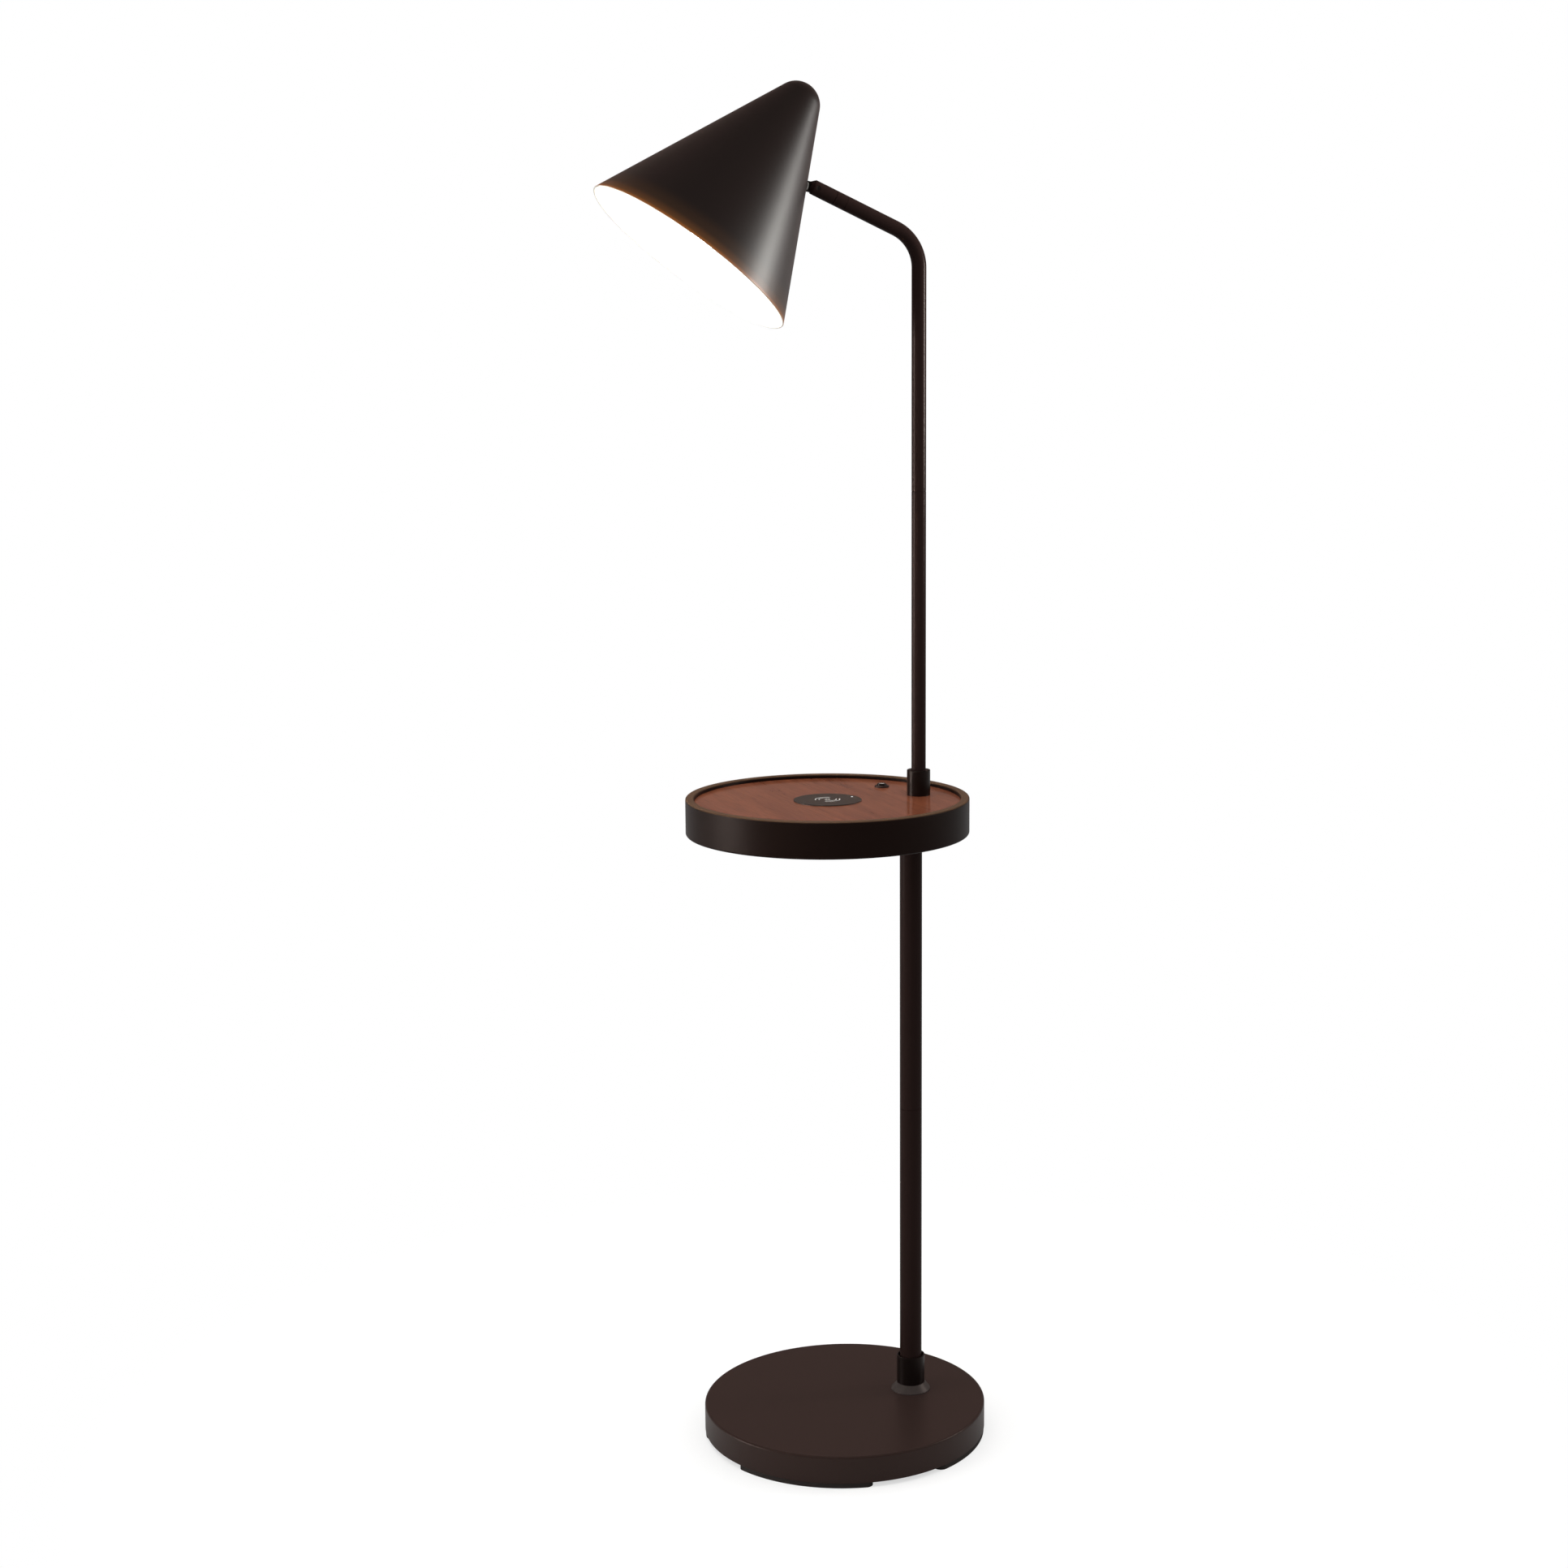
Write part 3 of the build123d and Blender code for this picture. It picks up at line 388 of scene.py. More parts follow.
# %% Veneer
grain_turn = math.radians(86)      # turn of the pattern that lays the grain nearly from front to back
dark_wood, light_wood = srgb(117, 62, 41), srgb(146, 84, 57)
tree, shader, coords = new_finish("veneer", Roughness=0.5, Specular_IOR_Level=0.1, Coat_Weight=0.85,
                                  Coat_Roughness=0.12, Coat_IOR=1.45)
turned = add(tree, "ShaderNodeMapping", {"Vector": coords, "Rotation": (0, 0, grain_turn)}).outputs[0]
stretched = add(tree, "ShaderNodeMapping", {"Vector": turned, "Scale": (1.6, 22.0, 4.0)}).outputs[0]
bands = add(tree, "ShaderNodeTexNoise", {"Vector": stretched, "Scale": 2.2, "Detail": 5.0, "Roughness": 0.55,
                                         "Distortion": 0.6})
hairs = add(tree, "ShaderNodeMapping", {"Vector": turned, "Scale": (30.0, 620.0, 60.0)}).outputs[0]
fibres = add(tree, "ShaderNodeTexNoise", {"Vector": hairs, "Scale": 1.0, "Detail": 3.0, "Roughness": 0.6})
tone = add(tree, "ShaderNodeValToRGB", {"Fac": bands.outputs["Fac"]})
for element, position, colour in zip(tone.color_ramp.elements, (0.3, 0.72), (dark_wood, light_wood)):
    element.position = position
    element.color = colour
pores = between(tree, fibres.outputs["Fac"], 0.34, 0.5, 0.70, 1.0)
wood = add(tree, "ShaderNodeVectorMath", {0: tone.outputs["Color"], "Scale": pores}, operation="SCALE")
tree.links.new(wood.outputs[0], shader.inputs["Base Color"])
relief = add(tree, "ShaderNodeBump", {"Height": fibres.outputs["Fac"], "Distance": 0.00003, "Strength": 0.2})
tree.links.new(relief.outputs["Normal"], shader.inputs["Normal"])
print("veneer:", len(tree.nodes), "nodes")

# %% [markdown]
# ## The shade
#
# The shade is a spun cone with a ball-shaped tip, sprayed satin black outside and white enamel inside. Its
# lower edge is folded in to a narrow hem, so no sharp sheet edge shows. A shape of revolution needs only
# its profile: round the edge, up the outer line to the tip, and down the inner line to the hem. Every
# profile point becomes a ring of vertices, which gives an even mesh that takes reflections better than a
# solid's triangles.

# %% Lathe
def lathe(name, profile, steps, place, closed=False):
    """Turn (radius, height, finish) points round Z. A point on the axis becomes a single vertex."""
    shape = bmesh.new()
    loops = []
    for radius, height, finish in profile:
        turns = [2 * math.pi * s / steps for s in range(steps)] if radius > 1e-7 else [0.0]
        loops.append([shape.verts.new((radius * math.cos(t), radius * math.sin(t), height)) for t in turns])
    ends = list(range(1, len(loops))) + ([0] if closed else [])
    for row, end in enumerate(ends):
        low, high = loops[row], loops[end]
        for s in range(steps if len(low) + len(high) > 2 else 0):
            t = (s + 1) % steps
            corners = [low[s % len(low)], low[t % len(low)], high[t % len(high)], high[s % len(high)]]
            face = shape.faces.new(list(dict.fromkeys(corners)))
            face.smooth = True
            face.material_index = profile[row][2]
    shape.transform(place)
    mesh = bpy.data.meshes.new(name)
    shape.to_mesh(mesh)
    shape.free()
    piece = bpy.data.objects.new(name, mesh)
    bpy.context.scene.collection.objects.link(piece)
    return piece


print("the lathe is ready")

# %% Shade profile and mesh
shade_rim = Vector((-0.166265, 0, 1.3142))      # centre of the rim's plane
shade_lean = math.radians(36.8)                 # axis from the vertical
rim_radius, half_angle = 0.120, math.radians(25)
tip_radius, sheet = 0.025, 0.001
hem_height, hem_depth = 0.006, 0.0009
cone_rings, tip_rings, shade_steps = 39, 12, 224
edge_angles = [math.radians(205 + 12 * i) for i in range(16)]      # round the folded edge, from its inside
paint_start = math.radians(335)                                    # where the paint begins on it
tip_centre = (rim_radius - tip_radius / math.cos(half_angle)) / math.tan(half_angle)
shade_place = Matrix.Translation(shade_rim) @ Matrix.Rotation(shade_lean, 4, "Y")
OUTSIDE, INSIDE = 0, 1


def cone_line(depth, bottom, finish):
    """Profile points at a depth under the outer face, from a height above the rim to the tip's axis."""
    ball = tip_radius - depth
    foot = rim_radius - depth / math.cos(half_angle)
    bend = tip_centre + ball * math.sin(half_angle)
    line = []
    for i in range(cone_rings + 1):
        height = bottom + (bend - bottom) * i / cone_rings
        line.append((foot - height * math.tan(half_angle), height, finish))
    for i in range(1, tip_rings + 1):
        turn = half_angle + (math.pi / 2 - half_angle) * i / tip_rings
        line.append((max(ball * math.cos(turn), 0), tip_centre + ball * math.sin(turn), finish))
    return line


bead = (sheet + hem_depth) / 2
bead_centre = rim_radius - bead / math.cos(half_angle) - bead * math.tan(half_angle)
edge = [(bead_centre + bead * math.cos(a), bead + bead * math.sin(a), OUTSIDE if a > paint_start else INSIDE)
        for a in edge_angles]
outer_line = cone_line(0, 2 * bead, OUTSIDE)
inner_line = cone_line(sheet, hem_height + hem_depth, INSIDE)
hem_top = cone_line(sheet + hem_depth, hem_height, INSIDE)[0]
profile = edge + outer_line + inner_line[::-1] + [hem_top]
shade = lathe("spun_shade", profile, shade_steps, shade_place, closed=True)
print("shade:", len(shade.data.polygons), "faces, rim edge", round(bead * 2000, 2), "mm thick")

# %% [markdown]
# ## Finish of the shade
#
# Outside, the spinning tool left very fine rings under the paint, and they spread the highlight up and down
# the cone. The lamp is lit, and a painted warm glow stands in for its light round the hem: the paint gives
# off light itself on its lowest few millimetres. A mapping node turns the object's coordinates into the
# shade's own, with Z up its axis, so one value gives both the rings and the distance from the rim. Inside is
# white enamel.

# %% Shade paint and enamel
# painted glow: the paint's own warm emission, fading up from the rim, stands in for light round the hem
glow_reach = 0.03      # metres above the rim
glow_ends = (0.42, 0.16, 0.03, 1), (0, 0, 0, 1)
glow_between = {0.05: (0.20, 0.065, 0.009, 1), 0.15: (0.07, 0.026, 0.006, 1), 0.45: (0.016, 0.007, 0.002, 1)}
tree, shader, coords = new_finish("shade_paint", Base_Color=srgb(27, 17, 15), Specular_IOR_Level=0.8,
                                  Emission_Strength=1.0)
own = add(tree, "ShaderNodeMapping", {"Vector": coords, "Location": shade_rim,
                                      "Rotation": (0, shade_lean, 0)}, vector_type="TEXTURE").outputs[0]
lay_rings(tree, shader, own, 2600.0, 0.37, 0.000006, 0.12)
height = add(tree, "ShaderNodeSeparateXYZ", {"Vector": own}).outputs["Z"]
glow = add(tree, "ShaderNodeValToRGB", {"Fac": between(tree, height, 0.0, glow_reach)})
glow.color_ramp.interpolation = "EASE"
stops = glow.color_ramp.elements
stops[0].color, stops[1].color = glow_ends
for share, colour in glow_between.items():
    stops.new(share).color = colour
tree.links.new(glow.outputs["Color"], shader.inputs["Emission Color"])

coated("shade_enamel", srgb(236, 232, 224), 500.0, 0.45, 0.00004, tint_drift=0.03, Coat_Weight=0.2,
       Coat_Roughness=0.2)
for slot in ("shade_paint", "shade_enamel"):
    shade.data.materials.append(finishes[slot])
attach(shade, "shade_head")
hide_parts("shade")
print("shade rides on the head")

# %% [markdown]
# ## The lit bulb, its holder and the small parts
#
# The globe is opal and switched on, so its shader gives light. The holder is moulded black plastic with a
# brass sleeve. The screws, washers, threaded rods and the bracket are zinc-plated steel.

# %% Bulb, holder and metal
coated("opal", srgb(245, 240, 230), 300.0, 0.3, 0.00001, tint_drift=0.02,
       Emission_Color=(1.0, 0.92, 0.82, 1), Emission_Strength=50.0)
coated("bulb_white", srgb(226, 224, 218), 1500.0, 0.4, 0.00002, tint_drift=0.03)
coated("socket_black", srgb(30, 28, 27), 1800.0, 0.38, 0.00003)
coated("dark_steel", srgb(58, 52, 50), 2600.0, 0.42, 0.00001, drift=0.2, tint_drift=0.2, Metallic=0.8)
coated("zinc_steel", srgb(196, 197, 196), 2600.0, 0.34, 0.00001, drift=0.2, tint_drift=0.2, Metallic=1.0)

for slot, colour, roughness in (
        ("socket_brass", srgb(214, 174, 96), 0.3),
        ("cap_metal", srgb(190, 190, 188), 0.28),
        ("copper", srgb(196, 112, 74), 0.35)):
    tree, shader, coords = new_finish(slot, Metallic=1.0, Base_Color=colour)
    lay_rings(tree, shader, coords, 900.0, roughness, 0.00002, 0.1)
print("finishes so far:", len(finishes))

# %% [markdown]
# ## Plastics, rubber, cement and the charger
#
# Moulded plastic has a fine spark-eroded grain, rubber a coarser one. The cement weight is pitted and
# cloudy, though only someone who opens the base sees it. The charger's pad is dark grey plastic, and its
# light is white.

# %% Plastics, rubber and the inside of the base
for slot, colour, per_metre, roughness, depth in (
        ("charger_black", srgb(60, 53, 49), 2200.0, 0.42, 0.00003),
        ("button_black", srgb(30, 26, 25), 2500.0, 0.25, 0.00001),
        ("plate_plastic", srgb(34, 32, 31), 1600.0, 0.55, 0.00005),
        ("panel_black", srgb(38, 35, 33), 700.0, 0.6, 0.00006),
        ("foot_rubber", srgb(42, 34, 31), 1100.0, 0.75, 0.00012),
        ("ferrite", srgb(62, 61, 60), 3000.0, 0.6, 0.00004),
        ("board_green", srgb(26, 74, 48), 1200.0, 0.35, 0.00003),
        ("cement", srgb(150, 147, 141), 240.0, 0.9, 0.0012)):
    coated(slot, colour, per_metre, roughness, depth, tint_drift=0.25)
coated("led_white", srgb(235, 238, 242), 1500.0, 0.3, 0.00001, tint_drift=0.02,
       Emission_Color=(0.95, 0.97, 1.0, 1), Emission_Strength=0.9)
print("finishes so far:", len(finishes))

# %% [markdown]
# ## Smooth tubes, rings and base
#
# A solid's mesh has few facets round a thin tube, and a raking light shows every one of them along the
# outline. So the large round pieces are turned again with many more steps. Each is a list of corners of
# radius, height and rounding in millimetres, up its outside and down its inside. A rounded corner becomes
# an arc, and a brace ring on each side of the arc keeps the wall beside it flat in reflections.

# %% From corners to a profile
def rounded(corners, steps=8, brace=0.4):
    """Profile points in metres for the lathe, from corners of (radius, height, rounding) in millimetres."""
    points = []
    for i, (radius, height, rounding) in enumerate(corners):
        corner = Vector((radius, height))
        if not rounding:
            points.append(corner)
            continue
        back = (Vector(corners[i - 1][:2]) - corner).normalized()
        ahead = (Vector(corners[(i + 1) % len(corners)][:2]) - corner).normalized()
        half = back.angle(ahead) / 2
        reach = rounding / math.tan(half)
        centre = corner + (back + ahead).normalized() * (rounding / math.sin(half))
        spokes = [corner + side * reach - centre for side in (back, ahead)]
        first, last = (math.atan2(spoke.y, spoke.x) for spoke in spokes)
        sweep = (last - first + math.pi) % (2 * math.pi) - math.pi
        arc = [first + sweep * s / steps for s in range(steps + 1)]
        points.append(corner + back * (reach + brace))
        points += [centre + rounding * Vector((math.cos(a), math.sin(a))) for a in arc]
        points.append(corner + ahead * (reach + brace))
    return [(point.x / 1000, point.y / 1000, 0) for point in points]


def turned_piece(name, corners, steps, axis):
    """A round piece about a vertical axis, whose place along X is in metres."""
    return lathe(name, rounded(corners), steps, Matrix.Translation((axis, 0, 0)), closed=True)


def cut_out(piece, cutter):
    """The piece without what the cutter covers, as a new plain mesh. The cutter is used up."""
    cut = piece.modifiers.new("cut", "BOOLEAN")
    cut.operation, cut.solver, cut.object = "DIFFERENCE", "EXACT", cutter
    graph = bpy.context.evaluated_depsgraph_get()
    mesh = bpy.data.meshes.new_from_object(piece.evaluated_get(graph))
    shape = bmesh.new()
    shape.from_mesh(mesh)
    bmesh.ops.triangulate(shape, faces=[face for face in shape.faces if len(face.verts) > 4])
    bmesh.ops.dissolve_degenerate(shape, dist=1e-6, edges=shape.edges)
    shape.to_mesh(mesh)
    shape.free()
    piece.modifiers.clear()
    piece.data = mesh
    bpy.data.objects.remove(cutter)


print("a rounded corner gives", len(rounded([(1, 0, 0), (9, 0, 2), (9, 9, 0)])) - 2, "rings")

# %% Measures from the solids
def axis_of(node):
    """Where the vertical axis of a round solid lies along X, in metres."""
    low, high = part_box(node)
    return (low[0] + high[0]) / 2


def measure(node, axis):
    """Outer radius, bottom and top of a solid that is round about this axis, in millimetres."""
    low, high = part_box(node)
    return 1000 * (high[0] - axis), 1000 * low[2], 1000 * high[2]


def dress(piece, node, finish=None):
    """Keep sharp corners sharp, and let the piece stand in for its solid, mostly with the same finish."""
    piece.data.set_sharp_from_angle(angle=math.radians(38))
    piece.data.materials.clear()
    piece.data.materials.append(finishes[finish or slot_of[node]])
    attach(piece, "stand")
    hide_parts(node)
    print(piece.name, len(piece.data.polygons), "faces", [round(v, 4) for v in piece.dimensions])


pole_x, tube_x, tray_x = axis_of("pole_section_1"), axis_of("upper_tube"), axis_of("shelf_rim")
rod_hole = 5.05                              # radius of the holes for the threaded rods, in millimetres
thin_steps, wide_steps = 128, 288            # facets round a collar or pole, and round the base or rim
tube_steps = 112                             # facets round the upper tube and the arm
print("axes in metres:", round(pole_x, 4), round(tube_x, 4), round(tray_x, 4))

# %% [markdown]
# ### The base's shell
#
# The shell is a stamped disc with a skirt. A few extra rings across its flat top keep the facets small
# there. Two holes are drilled afterwards: one under the pole for the threaded rod, and one at the back for
# the cord outlet.

# %% Base shell
shell_wall, flat_rings = 1.2, (110, 60, 20, 0)
cord_hole, cord_height, drill_steps = 4.5, 14, 48
radius, bottom, top = measure("base_cover", 0)
shell_corners = [(radius, bottom, 0.3), (radius, top, 2.5)]
shell_corners += [(ring, top, 0) for ring in flat_rings]
shell_corners += [(ring, top - shell_wall, 0) for ring in reversed(flat_rings)]
shell_corners += [(radius - shell_wall, top - shell_wall, 1.3), (radius - shell_wall, bottom, 0.3)]
base_shell = turned_piece("base_shell", shell_corners, wide_steps, 0)

half_step = Matrix.Rotation(math.pi / drill_steps, 4, "Z")   # keeps a drill's corners off the shell's edges
upright = Matrix.Translation((pole_x, 0, 0))
backward = Matrix.Translation((0, 0, cord_height / 1000)) @ Matrix.Rotation(math.radians(90), 4, "Y")
for hole, place, start, end in ((rod_hole, upright, top - 6, top + 4),
                                (cord_hole, backward, radius - 20, radius + 10)):
    drill = rounded([(0, start, 0), (hole, start, 0), (hole, end, 0), (0, end, 0)])
    cut_out(base_shell, lathe("drill", drill, drill_steps, place @ half_step))
dress(base_shell, "base_cover")

# %% [markdown]
# ### Pole, tray rim and upper tube
#
# The pole stands in a cup on a conical flange. Its two sections and the upper tube are plain pipes with a
# small bevel at their outer ends, which shows as a seam where two pipes meet. The rim carries the wooden
# panel on a ledge and has a seat for the tray's floor below it.

# %% Flange, cup and pole
def pipe_corners(node, axis, wall, seam=0.4):
    """A pipe with a small bevel at both outer ends."""
    radius, bottom, top = measure(node, axis)
    return [(radius - wall, bottom, 0), (radius - seam, bottom, 0), (radius, bottom + seam, 0),
            (radius, top - seam, 0), (radius - seam, top, 0), (radius - wall, top, 0)]


flange_edge, cup_wall, cup_floor, pole_wall = 0.8, 1.8, 3, 1.2
cup_radius, cup_bottom, cup_top = measure("base_collar", pole_x)
cup_bore = cup_radius - cup_wall
radius, bottom, top = measure("base_flange", pole_x)
flange_corners = [(rod_hole, bottom, 0), (radius, bottom, 0), (radius, bottom + flange_edge, 0.3),
                  (cup_radius, top, 0), (rod_hole, top, 0)]
cup_corners = [(rod_hole, cup_bottom, 0), (cup_radius, cup_bottom, 0), (cup_radius, cup_top, 0.45),
               (cup_bore, cup_top, 0.45), (cup_bore, cup_bottom + cup_floor, 0),
               (rod_hole, cup_bottom + cup_floor, 0)]
dress(turned_piece("pole_flange", flange_corners, thin_steps, pole_x), "base_flange")
dress(turned_piece("pole_cup", cup_corners, thin_steps, pole_x), "base_collar")
for name, node in (("pole_lower", "pole_section_1"), ("pole_upper", "pole_section_2")):
    dress(turned_piece(name, pipe_corners(node, pole_x, pole_wall), thin_steps, pole_x), node, "tube_paint")

# %% Rim, tray collar and upper tube
rim_wall, ledge_width, tube_wall, tube_play = 9.5, 12, 1.0, 0.05
panel_seat, floor_seat = 1000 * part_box("shelf_top")[0][2], 1000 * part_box("shelf_floor")[1][2]
radius, bottom, top = measure("shelf_rim", tray_x)
inside, ledge = radius - rim_wall, radius - rim_wall - ledge_width
rim_corners = [(radius, bottom, 2), (radius, top, 2), (inside, top, 2), (inside, panel_seat, 0),
               (ledge, panel_seat, 0), (ledge, floor_seat, 0), (inside, floor_seat, 0), (inside, bottom, 0)]
dress(turned_piece("tray_rim", rim_corners, wide_steps, tray_x), "shelf_rim")

tube_radius, tube_bottom, tube_top = measure("upper_tube", tube_x)
tube_seat = tube_radius + tube_play
radius, bottom, top = measure("shelf_collar", tube_x)
collar_corners = [(rod_hole, bottom, 0), (radius, bottom, 0), (radius, top, 1), (tube_seat, top, 0),
                  (tube_seat, tube_bottom, 0), (rod_hole, tube_bottom, 0)]
dress(turned_piece("tray_collar", collar_corners, thin_steps, tube_x), "shelf_collar")
dress(turned_piece("tube_straight", pipe_corners("upper_tube", tube_x, tube_wall), tube_steps, tube_x),
      "upper_tube", "tube_paint")

# %% [markdown]
# ### The bent arm
#
# The arm is turned as a straight tube with extra rings where it will bend. Then every point is moved onto
# the bent path: up to the bend it stays, inside the bend it swings round the bend's centre, and past it
# follows the arm's slope.

# %% Bent arm
bend_radius, bend_angle = 0.045, math.radians(66)      # metres, as all lengths in this cell
arm_corner, arm_length, bend_rings = 1.337, 0.0915, 44
arm_start, arm_radius, arm_bore = tube_top / 1000, tube_radius / 1000, (tube_radius - tube_wall) / 1000
arm_seam, brace = 0.0004, 0.002
tangent = bend_radius * math.tan(bend_angle / 2)
lead = arm_corner - arm_start - tangent
arc_length = bend_radius * bend_angle
arm_end = lead + arc_length + arm_length - tangent
stations = [lead + arc_length * i / bend_rings for i in range(bend_rings + 1)]
outer_rings = [arm_seam, lead - brace, *stations, lead + arc_length + brace, arm_end]
inner_rings = [arm_end, *stations[::-1], 0]
arm_profile = [(arm_radius - arm_seam, 0, 0)]
arm_profile += [(arm_radius, s, 0) for s in outer_rings] + [(arm_bore, s, 0) for s in inner_rings]
arm = lathe("arm_bent", arm_profile, tube_steps, Matrix(), closed=True)
for vertex in arm.data.vertices:
    along = vertex.co.z
    angle = min(max(along - lead, 0) / bend_radius, bend_angle)
    past = max(along - lead - arc_length, 0)
    out = bend_radius + vertex.co.x
    vertex.co.x = tube_x - bend_radius + out * math.cos(angle) - past * math.sin(angle)
    vertex.co.z = arm_start + min(along, lead) + out * math.sin(angle) + past * math.cos(angle)
dress(arm, "arm_tube", "tube_paint")

# %% [markdown]
# ## Growing small pieces with Geometry Nodes
#
# Screws, ribs and printed arcs repeat, so each kind is one node tree with named sizes. A tree is run on an
# empty mesh once. What it grows is copied to a plain mesh, and the helper with its modifier is thrown away.
# One more helper adds the last two nodes that every tree needs: instances made real, and the finish.

# %% Helpers for trees
def nodes_tree(name, inputs):
    """An empty Geometry Nodes tree with these inputs, the sockets it is given, and those of its result."""
    tree = bpy.data.node_groups.new(name, "GeometryNodeTree")
    for label, kind in inputs:
        tree.interface.new_socket(label, in_out="INPUT", socket_type="NodeSocket" + kind)
    tree.interface.new_socket("Geometry", in_out="OUTPUT", socket_type="NodeSocketGeometry")
    return tree, tree.nodes.new("NodeGroupInput").outputs, tree.nodes.new("NodeGroupOutput").inputs


def close_tree(tree, geometry, finish, result):
    """Make the instances real and give them their finish."""
    real = add(tree, "GeometryNodeRealizeInstances", {"Geometry": geometry})
    painted = add(tree, "GeometryNodeSetMaterial", {"Geometry": real.outputs[0], "Material": finish})
    tree.links.new(painted.outputs[0], result["Geometry"])


def grow(name, tree, place=None, **sizes):
    """Run a tree with the sizes given, and keep what it makes as a plain mesh in its place."""
    soil = bpy.data.objects.new("soil", bpy.data.meshes.new("soil"))
    bpy.context.scene.collection.objects.link(soil)
    modifier = soil.modifiers.new("tree", "NODES")
    modifier.node_group = tree
    for socket in tree.interface.items_tree:
        if socket.in_out == "INPUT":
            modifier[socket.identifier] = sizes[socket.name.replace(" ", "_").lower()]
    graph = bpy.context.evaluated_depsgraph_get()
    mesh = bpy.data.meshes.new_from_object(soil.evaluated_get(graph))
    bpy.data.objects.remove(soil)
    mesh.name = name
    mesh.transform(place or Matrix())
    piece = bpy.data.objects.new(name, mesh)
    bpy.context.scene.collection.objects.link(piece)
    return piece


def spread(tree, count, geometry, step):
    """Copies of a shape round the origin, turned by one step each."""
    points = add(tree, "GeometryNodePoints", {"Count": count})
    index = tree.nodes.new("GeometryNodeInputIndex")
    turn = add(tree, "ShaderNodeCombineXYZ", {"Z": maths(tree, "MULTIPLY", index.outputs[0], step)})
    copies = add(tree, "GeometryNodeInstanceOnPoints", {"Points": points.outputs[0], "Instance": geometry,
                                                        "Rotation": turn.outputs[0]})
    return copies.outputs[0]


print("ready to grow small pieces")

# %% [markdown]
# ## Screws under the base and under the tray
#
# Four pan-head screws hold the base's plate, and six countersunk ones hold the tray's floor. Each kind
# starts as a blank turned on the lathe, with the head downwards, and a tapered cross is cut out of the
# head. A tree sets the screws on a circle. A driver never stops at the same angle twice, so a random value
# with a fixed seed turns each one.

# %% Screw blanks with a cross recess
def cross_cutter(reach, width, depth, face):
    """A tapered cross that starts just below the head's face and narrows upwards into it."""
    proud, taper = 0.0002, 0.6
    outline = [(reach, -width), (reach, width), (width, width), (width, reach), (-width, reach),
               (-width, width), (-reach, width), (-reach, -width), (-width, -width), (-width, -reach),
               (width, -reach), (width, -width)]
    shape = bmesh.new()
    low = [shape.verts.new((x, y, face - proud)) for x, y in outline]
    high = [shape.verts.new((x * taper, y * taper, face + depth)) for x, y in outline]
    shape.faces.new(low[::-1])
    shape.faces.new(high)
    for i in range(len(outline)):
        j = (i + 1) % len(outline)
        shape.faces.new([low[i], low[j], high[j], high[i]])
    mesh = bpy.data.meshes.new("cross_cutter")
    shape.to_mesh(mesh)
    shape.free()
    cutter = bpy.data.objects.new("cross_cutter", mesh)
    bpy.context.scene.collection.objects.link(cutter)
    return cutter


def screw_blank(name, profile, reach, width, depth):
    """A turned screw in millimetres with a cross cut into the face of its head."""
    blank = lathe(name, [(r / 1000, z / 1000, 0) for r, z in profile], 32, Matrix())
    cutter = cross_cutter(reach / 1000, width / 1000, depth / 1000, profile[0][1] / 1000)
    cut_out(blank, cutter)
    for face in blank.data.polygons:
        face.use_smooth = abs(face.normal.z) < 0.9999 and face.area > 1e-9
    return blank


pan_profile = [(0, -2.2), (1.4, -2.17), (2.4, -1.98), (3.2, -1.6), (3.75, -1.0), (4, -0.3), (4, 0), (2, 0),
               (2, 11.2), (1.4, 12), (0, 12)]
sunk_profile = [(0, 0), (3.4, 0), (3.5, 0.1), (1.75, 1.8), (1.75, 13), (0.3, 14), (0, 14)]
pan_screw = screw_blank("pan_screw", pan_profile, 2.1, 0.42, 1.3)
sunk_screw = screw_blank("sunk_screw", sunk_profile, 1.9, 0.38, 1.4)
print("screw faces:", len(pan_screw.data.polygons), len(sunk_screw.data.polygons))

# %% Circles of screws
tree, given, result = nodes_tree("screw_circle", [
    ("Screw", "Object"), ("Count", "Int"), ("Circle Radius", "Float"), ("Centre", "Vector"),
    ("First Angle", "Float"), ("Seed", "Int"), ("Finish", "Material")])
circle = add(tree, "GeometryNodeMeshCircle", {"Vertices": given["Count"], "Radius": given["Circle Radius"]})
turn = add(tree, "ShaderNodeCombineXYZ", {"Z": given["First Angle"]})
placed = add(tree, "GeometryNodeTransform", {"Geometry": circle.outputs[0], "Translation": given["Centre"],
                                             "Rotation": turn.outputs[0]})
screw = add(tree, "GeometryNodeObjectInfo", {"Object": given["Screw"]})
stop = add(tree, "FunctionNodeRandomValue", {2: 0.0, 3: 2 * math.pi, "Seed": given["Seed"]},
           data_type="FLOAT")
driven = add(tree, "ShaderNodeCombineXYZ", {"Z": stop.outputs[1]})
screws = add(tree, "GeometryNodeInstanceOnPoints", {
    "Points": placed.outputs[0], "Instance": screw.outputs["Geometry"], "Rotation": driven.outputs[0]})
close_tree(tree, screws.outputs[0], given["Finish"], result)

plate_face, floor_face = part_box("base_plate")[0][2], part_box("shelf_floor")[0][2]
base_screws = grow("base_screw_heads", tree, screw=pan_screw, count=4, circle_radius=0.110,
                   centre=(0, 0, plate_face), first_angle=math.radians(45), seed=3,
                   finish=finishes["zinc_steel"])
tray_screws = grow("tray_screw_heads", tree, screw=sunk_screw, count=6, circle_radius=0.1405,
                   centre=(tray_x, 0, floor_face), first_angle=0.0, seed=8, finish=finishes["zinc_steel"])
for blank in (pan_screw, sunk_screw):
    bpy.data.objects.remove(blank)
for piece, node in ((base_screws, "base_screws"), (tray_screws, "shelf_screws")):
    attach(piece, "stand")
    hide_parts(node)
    print(piece.name, len(piece.data.polygons), "faces", [round(v, 4) for v in piece.dimensions])

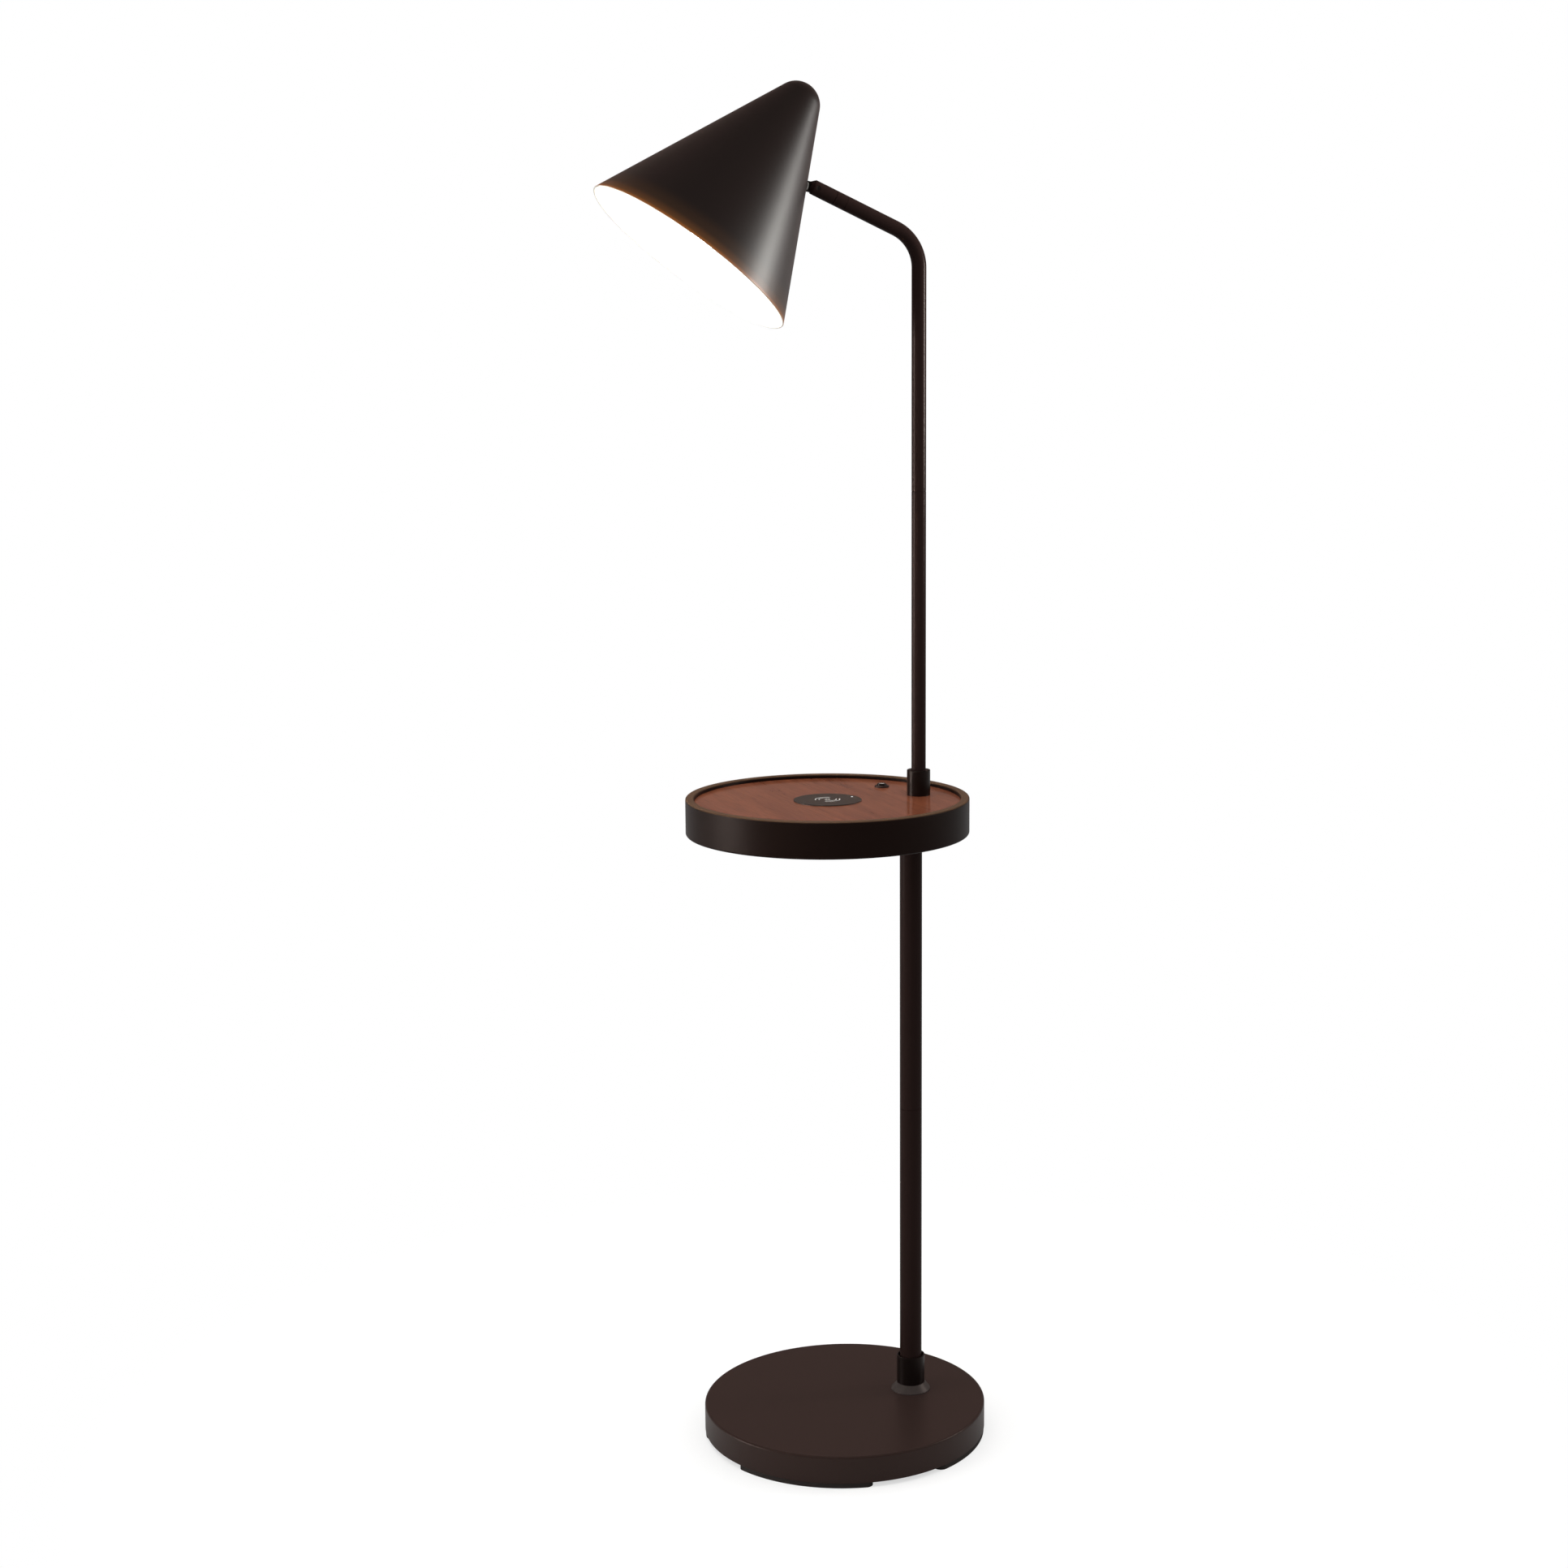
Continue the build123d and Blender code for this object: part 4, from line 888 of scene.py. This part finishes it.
# %% [markdown]
# ## Printed marks
#
# The charger pad shows where a phone goes, and the button shows what it does. Both marks are generic:
# broken rings with a plus, and a ring with a bar. Ink lies on the surface as a very thin film, so each line
# is a flat strip that sticks out by a few hundredths of a millimetre. One tree lays arcs round a centre and
# bars beside or across it.

# %% Tree for a printed mark
tree, given, result = nodes_tree("printed_mark", [
    ("Arcs", "Int"), ("Radius", "Float"), ("First Angle", "Float"), ("Sweep", "Float"), ("Line", "Float"),
    ("Film", "Float"), ("Bars", "Int"), ("Bar Length", "Float"), ("Bar Offset", "Float"),
    ("Finish", "Material")])
arc = add(tree, "GeometryNodeCurveArc", {"Resolution": 40, "Radius": given["Radius"],
                                         "Start Angle": given["First Angle"], "Sweep Angle": given["Sweep"]})
flat = add(tree, "GeometryNodeSetCurveNormal", {"Curve": arc.outputs[0]}, mode="Z_UP")
strip = add(tree, "GeometryNodeCurvePrimitiveQuadrilateral", {"Width": given["Line"],
                                                              "Height": given["Film"]})
line = add(tree, "GeometryNodeCurveToMesh", {"Curve": flat.outputs[0], "Profile Curve": strip.outputs[0],
                                             "Fill Caps": True})
ring = spread(tree, given["Arcs"], line.outputs[0], maths(tree, "DIVIDE", 2 * math.pi, given["Arcs"]))
size = add(tree, "ShaderNodeCombineXYZ", {"X": given["Line"], "Y": given["Bar Length"], "Z": given["Film"]})
stroke = add(tree, "GeometryNodeMeshCube", {"Size": size.outputs[0]})
aside = add(tree, "ShaderNodeCombineXYZ", {"Y": given["Bar Offset"]})
moved = add(tree, "GeometryNodeTransform", {"Geometry": stroke.outputs[0], "Translation": aside.outputs[0]})
bars = spread(tree, given["Bars"], moved.outputs[0], math.pi / 2)
joined = tree.nodes.new("GeometryNodeJoinGeometry")
tree.links.new(ring, joined.inputs[0])
tree.links.new(bars, joined.inputs[0])
close_tree(tree, joined.outputs[0], given["Finish"], result)
print("mark tree:", len(tree.nodes), "nodes")

# %% Marks on the charger pad and the button
def on_top(node, turn):
    """A place in the middle of a solid's top, turned by some degrees."""
    low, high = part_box(node)
    middle = ((low[0] + high[0]) / 2, (low[1] + high[1]) / 2, high[2])
    return Matrix.Translation(middle) @ Matrix.Rotation(math.radians(turn), 4, "Z")


coated("mark_ink", srgb(240, 238, 234), 3000.0, 0.6, 0.000004, tint_drift=0.1, Specular_IOR_Level=0.2)
film = 0.00006      # thickness of the ink, in metres
pad_arcs = {"arcs": 2, "first_angle": 0.5, "sweep": 2.1, "line": 0.0009}
button_arc = {"arcs": 1, "first_angle": math.radians(125), "sweep": math.radians(290), "line": 0.0005}
no_bars = {"bars": 0, "bar_length": 0.001, "bar_offset": 0.0}
plus = {"bars": 2, "bar_length": 0.0080, "bar_offset": 0.0}
bar = {"bars": 1, "bar_length": 0.0020, "bar_offset": 0.0020}
for name, node, turn, body, radius, sizes in (
        ("pad_mark_outer", "charger_pad", 30, "stand", 0.0135, {**pad_arcs, **no_bars}),
        ("pad_mark_inner", "charger_pad", 30, "stand", 0.0095, {**pad_arcs, **plus}),
        ("button_mark", "power_button", -20, "button", 0.0022, {**button_arc, **bar})):
    mark = grow(name, tree, on_top(node, turn), radius=radius, film=film, finish=finishes["mark_ink"],
                **sizes)
    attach(mark, body)
    print(mark.name, len(mark.data.polygons), "faces", [round(v * 1000, 2) for v in mark.dimensions], "mm")

# %% [markdown]
# ## Ribs of the bulb holder and the ring on the tongue
#
# The holder has grip ribs, for the hand that screws its halves together. They are one box on every point of
# a circle. The tongue between the knuckle and the shade carries a narrow bare ring, which shows as a bright
# crescent beside the dark fork. It is turned on the lathe and laid round the tongue's stud.

# %% Ribs of the holder
tree, given, result = nodes_tree("rib_circle", [
    ("Count", "Int"), ("Radius", "Float"), ("Length", "Float"), ("Width", "Float"), ("Height", "Float"),
    ("Finish", "Material")])
size = add(tree, "ShaderNodeCombineXYZ", {"X": given["Height"], "Y": given["Width"], "Z": given["Length"]})
rib = add(tree, "GeometryNodeMeshCube", {"Size": size.outputs[0]})
out = add(tree, "ShaderNodeCombineXYZ", {"X": given["Radius"]})
standing = add(tree, "GeometryNodeTransform", {"Geometry": rib.outputs[0], "Translation": out.outputs[0]})
ribs = spread(tree, given["Count"], standing.outputs[0], maths(tree, "DIVIDE", 2 * math.pi, given["Count"]))
close_tree(tree, ribs, given["Finish"], result)
rib_middle = shade_place @ Matrix.Translation((0, 0, 0.1195))      # up the shade's axis, from the rim's plane
holder_ribs = grow("holder_ribs", tree, rib_middle, count=40, radius=0.0195, length=0.022, width=0.0014,
                   height=0.0012, finish=finishes["socket_black"])
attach(holder_ribs, "shade_head")
print("ribs:", len(holder_ribs.data.polygons), "faces")

# %% Ring on the tongue
coated("bare_steel", srgb(224, 221, 216), 2600.0, 0.3, 0.00001, drift=0.2, tint_drift=0.1, Metallic=0.4)
tilt_pin = Vector((-0.0260635, 0, 1.3884522))      # middle of the pin that the shade tilts on
stud_turn = shade_lean - math.radians(115)         # the stud is square to the shade's wall
along_stud = Matrix.Translation(tilt_pin) @ Matrix.Rotation(stud_turn, 4, "Y")
ring_profile = [(0.0030, 0.0099), (0.0041, 0.0099), (0.0044, 0.0102), (0.0044, 0.0110), (0.0041, 0.0113),
                (0.0030, 0.0113)]
tongue_ring = lathe("tongue_ring", [(r, z, 0) for r, z in ring_profile], 48, along_stud, closed=True)
tongue_ring.data.materials.append(finishes["bare_steel"])
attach(tongue_ring, "shade_head")
print("ring:", len(tongue_ring.data.polygons), "faces")

# %% [markdown]
# ## Finishes on the solids
#
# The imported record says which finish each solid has. The spindle and the barrel of the knuckle carry on the
# arm's line, so they get the tubes' coat.

# %% Put each finish on its solids
for node, slot in slot_of.items():
    mesh = solids[node].data
    mesh.materials.clear()
    mesh.materials.append(finishes[slot])
for node in ("swivel_spindle", "knuckle_barrel"):
    solids[node].data.materials[0] = finishes["tube_paint"]
print("dressed", len(slot_of), "solids with", len(finishes), "finishes")

# %% [markdown]
# ## The size of the dressed lamp
#
# The dressed lamp's box is measured beside the solids' box, and how much it grew along each axis is printed.

# %% Compare the boxes
def lengths(corners):
    """How long a box is along X, Y and Z."""
    return [high - low for low, high in zip(*corners)]


visual_box = [list(corner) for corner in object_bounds()]
growth = [round(1000 * (new - old), 2) for new, old in zip(lengths(visual_box), lengths(cad_box))]
print("growth along X, Y and Z in millimetres:", growth)
